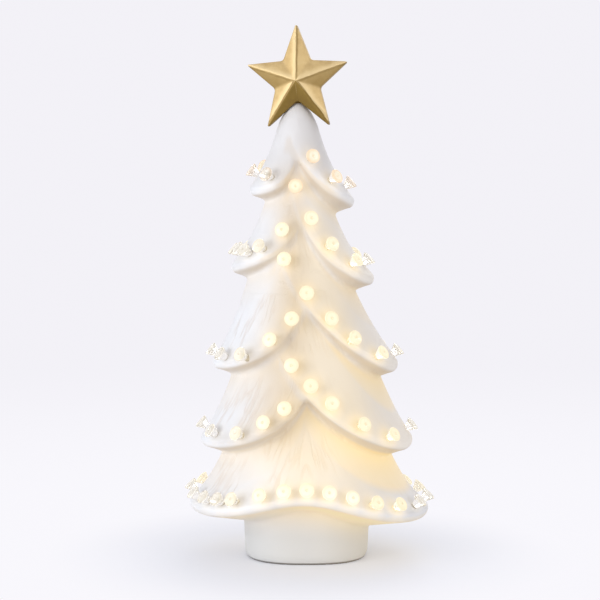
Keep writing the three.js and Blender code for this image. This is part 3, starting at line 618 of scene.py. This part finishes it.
def porcelain_finish():
    """Satin white glaze over soft strokes; warm light comes through below the hems."""
    f = Finish("porcelain_glaze", IOR=1.5, Emission_Strength=1.0)
    place, x, y, z = f.place()
    carve, glow, nose, shade, halo = [f.node("Attribute", dict(attribute_name=name), output="Fac")
                                      for name in ("carve", "glow", "nose", "shade", "halo")]
    across = x + z.rise(LEAN_START * MM, LEAN_END * MM, 0.0, CROWN_LEAN * MM)
    side = f.node("Math", dict(operation="ARCTAN2"), {0: abs(across), 1: -y})
    warp = f.clouds(place, 40, 2) * 1.2
    sweep = side * 8 + z * 45 + warp * 0.8
    strokes = f.clouds(f.vector(sweep, across * 12, z * 30), 1.0, 3, 0.55)
    breaks = f.clouds(f.vector(sweep * 0.4, across * 25, z * 45), 1.0, 2, 0.5).rise(0.4, 0.62)
    groove = abs(strokes - 0.5).rise(0.0, 0.07, 1.0, 0.0) * breaks * carve
    swell = f.clouds(f.vector(sweep * 0.6, across * 12, z * 22), 1.0, 2, 0.5)
    grain = f.clouds(place, 900, 3, 0.6)
    height = (swell * 0.45 - groove * 0.3) * carve + grain * 0.03
    mottle = f.clouds(place, 35, 3, 0.55)
    # Painted glow: a warm tint in the base colour where light comes through under the lips and round the
    # lit pegs, less on the lips' undersides.
    glow_warmth = (glow * (1 - nose * 0.6) + halo * 0.4).low(1.0)
    # Painted shade on the crown, stronger on its right side.
    crown = z.rise(0.185, 0.205) * (x + 0.01).rise(-0.012, 0.012, 0.28, 0.6)
    # Painted shade on the trunk, darker towards the foot.
    trunk = z.rise(0.03, 0.012) * 0.8
    # Painted contact shadow: a thin dark line along the bottom edge of the foot.
    foot_contact_shadow = z.rise(0.0014, 0.0005)
    upper_wall = z.rise(0.05, 0.10) * 0.4
    dark, peg_light = (0.0, 0.0, 0.0), (0.33, 0.275, 0.18)
    dim_amber, amber = (0.24, 0.145, 0.033), (0.35, 0.262, 0.075)
    base = f.mix(mottle.rise(0.35, 0.65), (0.80, 0.79, 0.78), (0.84, 0.835, 0.83))
    for share, colour in [(groove * 0.46, (0.65, 0.55, 0.47)), (glow_warmth, (0.76, 0.62, 0.41)),
                          (crown, (0.64, 0.59, 0.54)), (trunk, (0.59, 0.595, 0.58)),
                          (shade * 0.6, (0.575, 0.46, 0.325)), (foot_contact_shadow, (0.14, 0.135, 0.13))]:
        base = f.mix(share, base, colour)
    # The emission is painted glow for the lamps' light through the wall: weaker up the wall, brighter round
    # lit pegs, and held back in the painted shade.
    own = f.mix(glow_warmth, dark, f.mix(glow_warmth, dim_amber, amber))
    own = f.mix(upper_wall, own, dark)
    own = f.mix(halo * 0.8, own, peg_light)
    own = f.mix(shade * 0.4, own, (0.02, 0.012, 0.0))
    f.feed(Base_Color=base, Roughness=0.4 + mottle * 0.16 + groove * 0.1,
           Emission_Color=own, Normal=f.bump(height, 0.0008, 0.7))
    return f


def gold_finish():
    """Pale gold paint, with a painted highlight above each ridge and a painted shade line below it,
    and painted shade on the facets that face down and between the two lower arms."""
    f = Finish("star_gold_paint", Metallic=0.6, IOR=1.5)
    place, x, y, z = f.place()
    yaw = math.radians(STAR_YAW)
    across = ((x - STAR_X * MM) * math.cos(yaw) + (y + STAR_FORWARD * MM) * math.sin(yaw)) / STAR_NARROW
    above = z - STAR_HEIGHT * MM
    bearing = f.node("Math", dict(operation="ARCTAN2"), {0: across, 1: above}) + math.radians(STAR_TURN)
    half_arm = math.radians(36)
    from_ridge = f.node("Math", dict(operation="WRAP"), {0: bearing, 1: half_arm, 2: -half_arm})
    reach = (across * across + above * above).root()
    below = reach * f.node("Math", dict(operation="SINE"), {0: from_ridge})
    below = below * bearing.rise(-half_arm - 0.002, -half_arm + 0.002, -1.0, 1.0)
    below = below + abs(bearing).rise(1.8, 1.95) * 0.0012
    fork_shade = (abs(bearing) + bearing.rise(0.0, 0.1, 0.0, 0.1)).rise(math.radians(143), math.radians(145))
    facing = f.node("SeparateXYZ", inputs={0: f.node("TexCoord", output="Normal")}, output=2)
    streaks = f.clouds(f.vector(x * 260, y * 260, z * 420), 1.0, 4, 0.6)
    patches = f.clouds(place, 140, 3, 0.6)
    grain = f.clouds(place, 1600, 3, 0.65)
    wander = (patches - 0.5) * 0.0012
    light = (below + wander).rise(-0.0032, -0.0006) * (below + wander).rise(0.0003, 0.0)
    ridge_shade = (below + wander).rise(0.0, 0.0004) * (below + wander).rise(0.0016, 0.0007)
    base = f.mix(patches.rise(0.3, 0.7), (0.50, 0.345, 0.145), (0.62, 0.455, 0.21))
    base = f.mix(streaks.rise(0.5, 0.75) * 0.3, base, (0.74, 0.58, 0.31))
    # Painted shade on the facets that face down.
    base = f.mix(facing.rise(-0.02, -0.35) * 0.75, base, (0.28, 0.175, 0.04))
    # Painted shade in the fork between the two lower arms.
    base = f.mix(fork_shade * 0.95, base, f.mix(patches, (0.19, 0.115, 0.02), (0.26, 0.165, 0.03)))
    # Painted highlight in a band above each ridge.
    base = f.mix(light * 0.6, base, (0.79, 0.62, 0.34))
    # Painted shade in a thin line below each ridge, broken up by the streaks.
    base = f.mix(ridge_shade * (0.35 + streaks * 0.6), base, (0.21, 0.13, 0.03))
    base = f.mix(grain.rise(0.66, 0.78) * 0.3, base, (0.26, 0.17, 0.06))
    f.feed(Base_Color=base, Roughness=0.38 + patches * 0.2 + grain * 0.1,
           Normal=f.bump(streaks * 0.4 + grain * 0.6, 0.0003, 0.6))
    return f


def peg_finish():
    """Clear acrylic. The front face carries the light that comes up the stem."""
    f = Finish("clear_acrylic", Transmission_Weight=0.85, IOR=1.49, Emission_Strength=1.0)
    place, x, y, z = f.place()
    reach = f.node("Attribute", dict(attribute_name="reach"), output="Fac")
    lift = f.node("Attribute", dict(attribute_name="lift"), output="Fac")
    lit = f.node("Attribute", dict(attribute_name="lit"), output="Fac")
    face = lift.rise(0.86, 0.93)
    pupil = reach.rise(0.3, 0.12)
    ring = reach.rise(0.62, 0.8) * reach.rise(1.0, 0.9)
    haze = f.clouds(place, 700, 2)
    f.feed(Base_Color=f.mix(haze.rise(0.3, 0.7), (0.97, 0.965, 0.95), (0.88, 0.87, 0.85)),
           Roughness=0.04 + haze * 0.08, Normal=f.bump(haze, 0.00005, 0.4),
           Emission_Color=f.mix(lit * 0.5, (0.0, 0.0, 0.0), (0.3, 0.26, 0.17)))
    amber = z.rise(0.175, 0.185) * reach.rise(0.4, 0.9)
    shine = f.mix(lit, (0.59, 0.57, 0.53), (0.63, 0.55, 0.36))
    shine = f.mix(amber, shine, (0.62, 0.36, 0.2))
    front_low = z.rise(0.048, 0.036) * abs(x - 0.003).rise(0.032, 0.012)
    shine = f.mix(front_low, shine, (0.72, 0.68, 0.57))
    shine = f.mix(ring * 0.4, shine, (0.56, 0.45, 0.24))
    shine = f.mix(pupil * 0.6, shine, (0.44, 0.35, 0.18))
    milky = f.node("BsdfPrincipled", inputs={
        "Base Color": f.mix(haze, (0.5, 0.46, 0.36), (0.4, 0.36, 0.27)), "Roughness": 0.3 + haze * 0.1,
        "IOR": 1.49, "Emission Color": shine, "Emission Strength": 1.0})
    f.show(f.node("MixShader", inputs={0: face * lit.rise(0.0, 0.8) * 0.92, 1: f.surface, 2: milky}))
    return f


def moulded_finish(name, colour, dark, rough=0.5, grain=1400, depth=0.00008):
    """Moulded plastic with a fine spark-eroded texture and faint flow marks."""
    f = Finish(name, IOR=1.46)
    place, x, y, z = f.place()
    texture = f.clouds(place, grain, 3, 0.6)
    flow = f.clouds(f.vector(x * 30, y * 90, z * 30), 1.0, 3, 0.5)
    base = f.mix(flow.rise(0.35, 0.7), colour, dark)
    f.feed(Base_Color=base, Roughness=rough - 0.06 + texture * 0.14 + flow * 0.05,
           Normal=f.bump(texture + flow * 0.3, depth, 0.5))
    return f


def metal_finish(name, colour, dark, rough=0.28, brush=(40, 40, 900)):
    """Plated metal with drawn lines and a little tarnish."""
    f = Finish(name, Metallic=1.0)
    place, x, y, z = f.place()
    lines = f.clouds(f.vector(x * brush[0], y * brush[1], z * brush[2]), 1.0, 3, 0.6)
    tarnish = f.clouds(place, 120, 4, 0.6)
    base = f.mix(tarnish.rise(0.45, 0.75) * 0.7, colour, dark)
    f.feed(Base_Color=base, Roughness=rough + lines * 0.14 + tarnish * 0.1,
           Normal=f.bump(lines, 0.00004, 0.4))
    return f


def foam_finish():
    """Soft closed-cell foam."""
    f = Finish("seal_foam", IOR=1.4, Sheen_Weight=0.2)
    place = f.place()[0]
    cells = f.node("TexVoronoi", dict(feature="F1"), {"Vector": place, "Scale": 1500.0})
    shade = f.clouds(place, 200, 3)
    f.feed(Base_Color=f.mix(cells.rise(0.2, 0.7), (0.2, 0.195, 0.185), (0.36, 0.35, 0.335)),
           Roughness=0.85 + shade * 0.1, Normal=f.bump(cells, 0.0002, 0.7))
    return f


def cell_finish():
    """A plain dark sleeve with a coppery band at the plus end, on a bright can."""
    f = Finish("cell_sleeve", IOR=1.5)
    place, x, y, z = f.place()
    reach = f.node("Attribute", dict(attribute_name="reach"), output="Fac")
    lift = f.node("Attribute", dict(attribute_name="lift"), output="Fac")
    sleeve = reach.rise(0.88, 0.9) * lift.rise(0.012, 0.014) * lift.rise(0.97, 0.968)
    band = lift.rise(0.66, 0.665)
    scuff = f.clouds(f.vector(x * 300, y * 300, z * 40), 1.0, 4, 0.6)
    ink = f.mix(band, (0.018, 0.024, 0.034), (0.42, 0.19, 0.075))
    ink = f.mix(scuff.rise(0.62, 0.8) * 0.3, ink, (0.2, 0.2, 0.2))
    can = f.mix(scuff, (0.62, 0.62, 0.63), (0.5, 0.5, 0.52))
    f.feed(Base_Color=f.mix(sleeve, can, ink), Metallic=1 - sleeve * (1 - band * 0.7),
           Roughness=0.22 + scuff * 0.2, Normal=f.bump(scuff, 0.00003, 0.3))
    return f


def board_finish():
    """Green solder mask over faint copper tracks, with tinned pads."""
    f = Finish("circuit_board_mask", IOR=1.5)
    place, x, y, z = f.place()
    lanes = f.node("Math", dict(operation="SINE"), {0: y * 1800 + x.rise(-0.008, 0.008) * 9})
    tracks = abs(lanes).rise(0.9, 0.97)
    weave = f.node("TexWave", dict(wave_type="BANDS"), {"Vector": place, "Scale": 900.0, "Distortion": 1.0})
    grain = f.clouds(place, 800, 3)
    base = f.mix(tracks * 0.6, (0.012, 0.10, 0.035), (0.03, 0.2, 0.07))
    base = f.mix(weave * 0.15, base, (0.05, 0.16, 0.06))
    f.feed(Base_Color=base, Roughness=0.3 + grain * 0.15, Coat_Weight=0.3 + tracks * 0.2,
           Normal=f.bump(tracks + weave * 0.2, 0.00005, 0.5))
    return f


def lens_finish():
    """Clear warm lens over a glowing chip."""
    f = Finish("led_lens", IOR=1.5, Transmission_Weight=0.6, Emission_Strength=1.0)
    place, x, y, z = f.place()
    swirl = f.clouds(place, 500, 2)
    hot = z.rise(0.0648, 0.0672)
    f.feed(Base_Color=f.mix(swirl, (1.0, 0.94, 0.8), (1.0, 0.9, 0.7)), Roughness=0.06 + swirl * 0.06,
           Emission_Color=f.mix(hot, (0.5, 0.3, 0.08), (1.0, 0.74, 0.36)),
           Normal=f.bump(swirl, 0.00004, 0.3))
    return f


# The porcelain tree

def draped_skins():
    """The tiers' and the trunk's closed skins, which pass through each other, as one object."""
    rings = [[section(SKIRT, bearing, 0) for bearing in range(0, 361, SECTION_STEP)]]
    for tier in TIERS:
        for turn in SWAG_TURNS:
            count = int((180 + SWAG_OVERLAP) / SECTION_STEP)
            rings.append([section(tier, tier["lead_start"] + SECTION_STEP * i, turn)
                          for i in range(count + 1)])
    solids = [skin("tier", rows) for rows in rings]
    solids.append(skin("trunk", trunk_rings()))
    body = join(solids)
    body.name = body.data.name = "porcelain_tree"
    return body


def brushed(points):
    """The points with the foot laid flat and shallow waves where the strokes run."""
    points[:, 2] = np.maximum(0, points[:, 2] - FOOT_SAG * (1 - step(points[:, 2], 0, 4 * FOOT_SAG)))
    share = marks(points)["carve"]
    height, across, bearing, reach = polar(points)
    turn = np.abs(np.radians(bearing)) + height / 180
    wave = np.sin(turn * 17 + across / 14) + 0.6 * np.sin(turn * 29 + height / 11 + across / 9)
    outward = np.stack([across, points[:, 1]], axis=1) / np.maximum(1, reach)[:, None]
    points[:, :2] += outward * (wave * share * WAVE_DEPTH)[:, None]
    return points


def chamber():
    """The hollow inside: the recess in the foot, the opening's shoulder and the light chamber."""
    profile = [(0, -1), (BASE_RECESS_RADIUS, -1), (BASE_RECESS_RADIUS, BASE_RECESS_TOP),
               (BASE_OPENING, BASE_RECESS_TOP), (BASE_OPENING, SHOULDER_TOP),
               (CHAMBER_RIM, SHOULDER_TOP + 0.6), (CHAMBER_WALL, SHOULDER_TOP + 3)]
    hollow = lathe("hollow", profile + CHAMBER, 64)
    for vertex in hollow.data.vertices:
        vertex.co.x += lean_at(vertex.co.z / MM) * MM
    return hollow


def turned_to(facing):
    return facing.to_track_quat("Z", "Y").to_matrix().to_4x4()


def peg_bore(seat, facing):
    turn = turned_to(facing)
    bpy.ops.mesh.primitive_cylinder_add(vertices=14, radius=(PEG_STEM + BORE_PLAY) * MM,
                                        depth=(PEG_BORE + BORE_MOUTH) * MM)
    bore = named("bore")
    bore.data.transform(Matrix.Translation((seat + facing * (BORE_MOUTH - PEG_BORE) / 2) * MM) @ turn)
    return bore


def star_socket():
    floor_height = STAR_HEIGHT - STAR_WAIST - STAR_STEM_LENGTH - FIT
    return lathe("socket", [(0, floor_height), (STAR_STEM + FIT, floor_height),
                            (STAR_STEM + FIT, CROWN_HEIGHT + 1), (0, CROWN_HEIGHT + 1)], 24, (STAR_X, 0))


def tree_body():
    body = draped_skins()
    modify(body, "REMESH", mode="VOXEL", voxel_size=VOXEL * MM)
    modify(body, "SMOOTH", factor=0.5, iterations=3)
    melted = body.vertex_groups.new(name="melted")
    for i, share in enumerate(softness(corners(body))):
        if share > 0.02:
            melted.add([i], share, "REPLACE")
    modify(body, "SMOOTH", factor=0.6, iterations=70, vertex_group="melted")
    body.data.vertices.foreach_set("co", (brushed(corners(body)) * MM).ravel())
    cut(body, chamber())
    cut(body, join([peg_bore(seat, facing) for seat, facing, _, _ in PEG_SEATS] + [star_socket()]))
    for name, values in marks(corners(body)).items():
        note(body, name, values)
    smooth(body, 50)
    return body


def peg_mesh():
    """One clear peg along Z with its shoulder at zero: stem, faceted cone, rim and dimpled face."""
    rim = FIT + PEG_HEAD_HEIGHT - 0.03
    top = rim + PEG_GIRDLE + PEG_CROWN
    profile = [
        (0, -PEG_STEM_LENGTH), (PEG_STEM - 0.25, -PEG_STEM_LENGTH), (PEG_STEM, -PEG_STEM_LENGTH + 0.3),
        (PEG_STEM, FIT - 0.1), (PEG_HEAD - 0.12, rim), (PEG_HEAD, rim + 0.15),
        (PEG_HEAD, rim + PEG_GIRDLE - 0.15), (PEG_HEAD - 0.3, rim + PEG_GIRDLE + 0.12),
        (2.2, top - 0.06), (1.0, top), (0.65, top - 0.2), (0.35, top - 0.5), (0, top - 0.6),
    ]
    peg = lathe("peg_pattern", profile, 14)
    smooth(peg, 20)
    return peg


def clear_pegs(finish):
    pattern = peg_mesh()
    top = FIT + PEG_HEAD_HEIGHT + PEG_GIRDLE + PEG_CROWN
    front = 0
    for i, (seat, facing, in_front, lit) in enumerate(PEG_SEATS):
        alone(pattern)
        bpy.ops.object.duplicate()
        peg = named(f"clear_peg_{i + 1:02d}")
        points = corners(peg)
        note(peg, "reach", np.hypot(points[:, 0], points[:, 1]) / PEG_HEAD)
        note(peg, "lift", (points[:, 2] + PEG_STEM_LENGTH) / (top + PEG_STEM_LENGTH))
        note(peg, "lit", np.full(len(points), lit))
        spin = Matrix.Rotation(math.radians(37 * i), 4, "Z")
        peg.data.transform(Matrix.Translation(seat * MM) @ turned_to(facing) @ spin)
        if in_front:
            front += 1
        dress(peg, finish, replaces=[f"light_peg_{front:02d}"] if in_front else [])
    bpy.data.objects.remove(pattern)


# The star

def star():
    bpy.ops.mesh.primitive_circle_add(vertices=10, radius=1, fill_type="NGON")
    piece = named("gold_star")
    for i, vertex in enumerate(piece.data.vertices):
        turn = math.pi * i / 5 + math.radians(STAR_TURN)
        reach = STAR_NOTCH if i == 5 else STAR_WAIST if i % 2 else STAR_RADIUS
        vertex.co = Vector((-reach * math.sin(turn), STAR_HALF_EDGE, reach * math.cos(turn))) * MM
    edit()
    bpy.ops.mesh.extrude_region_move(TRANSFORM_OT_translate=dict(value=(0, -2 * STAR_HALF_EDGE * MM, 0)))
    bpy.ops.mesh.select_all(action="SELECT")
    bpy.ops.mesh.normals_make_consistent(inside=False)
    bpy.ops.mesh.select_all(action="DESELECT")
    bpy.ops.mesh.select_face_by_sides(number=10)
    bpy.ops.mesh.poke()
    done()
    for vertex in piece.data.vertices:
        if math.hypot(vertex.co.x, vertex.co.z) < MM:
            vertex.co = (0, math.copysign(STAR_HALF_DEPTH * MM, vertex.co.y), 0)
    modify(piece, "BEVEL", width=STAR_EASE * MM, segments=3, limit_method="ANGLE",
           angle_limit=math.radians(12))
    grown = STAR_RADIUS * math.cos(math.radians(STAR_TURN)) / corners(piece)[:, 2].max()
    piece.data.transform(Matrix.Translation((STAR_X * MM, -STAR_FORWARD * MM, STAR_HEIGHT * MM))
                         @ Matrix.Rotation(math.radians(STAR_YAW), 4, "Z")
                         @ Matrix.Diagonal((grown * STAR_NARROW, 1, grown, 1)))
    profile = [(0, CROWN_HEIGHT - 24)]
    for below in range(24, -1, -1):
        height = CROWN_HEIGHT - below
        profile.append((tier_radius(TIERS[0], 0, TIERS[0]["hem"], min(height, CROWN_HEIGHT - 0.5)) + FIT,
                        height if below else height + FIT))
    profile.append((0, CROWN_HEIGHT + FIT))
    seat = lathe("crown_seat", profile, 32)
    for vertex in seat.data.vertices:
        vertex.co.x += lean_at(vertex.co.z / MM) * MM
    cut(piece, seat)
    stem_foot = STAR_HEIGHT - STAR_WAIST - STAR_STEM_LENGTH
    stem = lathe("stem", [(0, stem_foot), (STAR_STEM - 0.5, stem_foot), (STAR_STEM, stem_foot + 0.6),
                          (STAR_STEM, STAR_HEIGHT - STAR_WAIST / 3), (0, STAR_HEIGHT - STAR_WAIST / 3)],
                 24, (STAR_X, 0))
    cut(piece, stem, "UNION")
    piece.name = piece.data.name = "gold_star"
    smooth(piece, 30)
    return piece


# Softened copies of the moulded solids

def softened(node, name, width):
    """A copy of a solid with its loose triangles welded and its sharp edges eased."""
    source = frame["nodes"][node]
    copy = bpy.data.objects.new(name, source.data.copy())
    bpy.context.scene.collection.objects.link(copy)
    alone(copy)
    edit()
    bpy.ops.mesh.remove_doubles(threshold=1e-6)
    bpy.ops.mesh.dissolve_limited(angle_limit=math.radians(1))
    done()
    if width:
        modify(copy, "BEVEL", width=width * MM, segments=2, limit_method="ANGLE",
               angle_limit=math.radians(40), use_clamp_overlap=True)
    smooth(copy, 35)
    return copy


# The parts in the base

def moulded_parts():
    """The housing and all that it carries but the cells."""
    casing = moulded_finish("casing_plastic", (0.74, 0.72, 0.68), (0.66, 0.64, 0.60))
    black_plastic = moulded_finish("switch_plastic", (0.018, 0.018, 0.02), (0.03, 0.03, 0.032), 0.42)
    red_sleeve = moulded_finish("red_insulation", (0.42, 0.022, 0.018), (0.3, 0.015, 0.012), 0.4, 500)
    black_sleeve = moulded_finish("black_insulation", (0.02, 0.02, 0.021), (0.035, 0.035, 0.036), 0.4, 500)
    plated = metal_finish("plated_contact", (0.72, 0.73, 0.74), (0.48, 0.46, 0.42))
    zinc = metal_finish("zinc_screw", (0.66, 0.67, 0.70), (0.42, 0.42, 0.42), 0.34)
    for node, name, width, finish, slot, body in [
        ("module_case", "lamp_housing", 0.15, casing, "casing", "tree"),
        ("battery_door", "cell_door", 0.15, casing, "casing", "door"),
        ("led_carrier", "lamp_carrier", 0.2, casing, "casing", "tree"),
        ("seal_ring", "soft_seal", 0.1, foam_finish(), "foam", "tree"),
        ("door_bridge", "bridge_contact", 0.03, plated, "contact_metal", "door"),
        ("plus_contact", "plus_plate", 0.05, plated, "contact_metal", "tree"),
        ("minus_spring", "minus_plate", 0.03, plated, "contact_metal", "tree"),
        ("circuit_board", "lamp_board", 0.1, board_finish(), "board", "tree"),
        ("switch_body", "switch_shell", 0.15, black_plastic, "switch_plastic", "tree"),
        ("switch_slider", "switch_knob", 0.2, black_plastic, "switch_plastic", "slider"),
        ("wire_red", "red_lead", 0, red_sleeve, "wire_red", "tree"),
        ("wire_black", "black_lead", 0, black_sleeve, "wire_black", "tree"),
        ("screw_1", "front_screw", 0.1, zinc, "screw_steel", "tree"),
        ("screw_2", "back_screw", 0.1, zinc, "screw_steel", "tree"),
        ("led_1", "lamp_left", 0.1, lens_finish(), "led_lens", "tree"),
        ("led_2", "lamp_middle", 0.1, lens_finish(), "led_lens", "tree"),
        ("led_3", "lamp_right", 0.1, lens_finish(), "led_lens", "tree"),
    ]:
        dress(softened(node, name, width), finish, body, [node])


def battery_cells():
    """The two cells, which lie end for end; lift runs from each one's minus end to its plus end."""
    sleeve = cell_finish()
    for number, plus_up in ((1, True), (2, False)):
        node = f"cell_{number}"
        low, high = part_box(node)
        cell = softened(node, f"battery_cell_{number}", 0.15)
        away = corners(cell) - np.array((low + high) / 2) / MM
        share = away[:, 2] / ((high.z - low.z) / MM) + 0.5
        note(cell, "reach", np.hypot(away[:, 0], away[:, 1]) / ((high.x - low.x) / MM) * 2)
        note(cell, "lift", share if plus_up else 1 - share)
        dress(cell, sleeve, "tree", [node])


# Camera, lights and floor

CAMERA_PLACE, CAMERA_AIM, CAMERA_LENS = (-0.0033, -1.0, 0.215), (-0.0033, 0, 0.1309), 117.8
LAMP_AIM = (0, 0, 0.12)
LAMPS = [
    ("key_lamp", (-0.95, -0.65, 0.39), 6.25, 0.7, (0.94, 0.965, 1.0)),
    ("fill_lamp", (0.9, -0.9, 0.5), 4.5, 0.9, (1.0, 0.985, 0.965)),
    ("low_lamp", (-0.45, -0.7, 0.03), 1.2, 0.6, (1.0, 0.995, 0.99)),
    ("back_lamp", (0.3, 1.0, 0.8), 3.0, 0.8, (0.95, 0.97, 1.0)),
]
PALE = (0.896, 0.883, 0.930)
PALER = (0.945, 0.935, 0.978)


def aimed(thing, place, aim):
    """Puts a camera or a lamp at its place, looking at a point."""
    thing.location = place
    thing.rotation_euler = (Vector(aim) - Vector(place)).to_track_quat("-Z", "Y").to_euler()
    bpy.context.scene.collection.objects.link(thing)


def camera():
    data = bpy.data.cameras.new("camera")
    data.sensor_width = 36
    data.lens = CAMERA_LENS
    data.clip_start, data.clip_end = 0.01, 50
    view = bpy.data.objects.new("camera", data)
    aimed(view, CAMERA_PLACE, CAMERA_AIM)
    bpy.context.scene.camera = view


def lamp(name, place, power, size, colour):
    data = bpy.data.lights.new(name, "AREA")
    data.energy, data.size, data.color = power, size, colour
    aimed(bpy.data.objects.new(name, data), place, LAMP_AIM)


def floor():
    """A pale sheet that shows its shadows near the tree and its plain tone further off."""
    bpy.ops.mesh.primitive_plane_add(size=1)
    piece = named("floor")
    piece.data.transform(Matrix.Scale(30, 4))
    f = Finish("floor_sheet", Roughness=0.6)
    place, x, y, z = f.place()
    grain = f.clouds(place, 120, 3)
    away = (x * x + y * y).root()
    f.feed(Base_Color=f.mix(grain * 0.04, (0.84, 0.86, 0.92), (0.78, 0.80, 0.85)))
    flat = f.node("Emission", inputs={"Color": f.mix(away.rise(0.12, 0.9), PALER, PALE), "Strength": 1.0})
    share = f.seen() * away.rise(0.03, 0.14, 0.22, 1.0)
    f.show(f.node("MixShader", inputs={0: share, 1: f.surface, 2: flat}))
    piece.data.materials.append(f.material)


def world():
    """Plain light from all round, and a pale backdrop for what looks past the tree."""
    scene = bpy.context.scene
    scene.world = bpy.data.worlds.new("studio")
    studio = Graph(scene.world, "OutputWorld")
    ambient = studio.node("Background", inputs={"Color": (0.9, 0.92, 1.0), "Strength": 0.6})
    backdrop = studio.node("Background", inputs={"Color": PALE, "Strength": 1.0})
    studio.show(studio.node("MixShader", inputs={0: studio.seen(), 1: ambient, 2: backdrop}))
    scene.view_settings.view_transform = "Standard"


camera()
world()
floor()
for settings in LAMPS:
    lamp(*settings)

bpy.ops.object.select_all(action="DESELECT")

dress(tree_body(), porcelain_finish(), replaces=["tree_body"])
dress(star(), gold_finish(), replaces=["star"])
clear_pegs(peg_finish())

moulded_parts()
battery_cells()
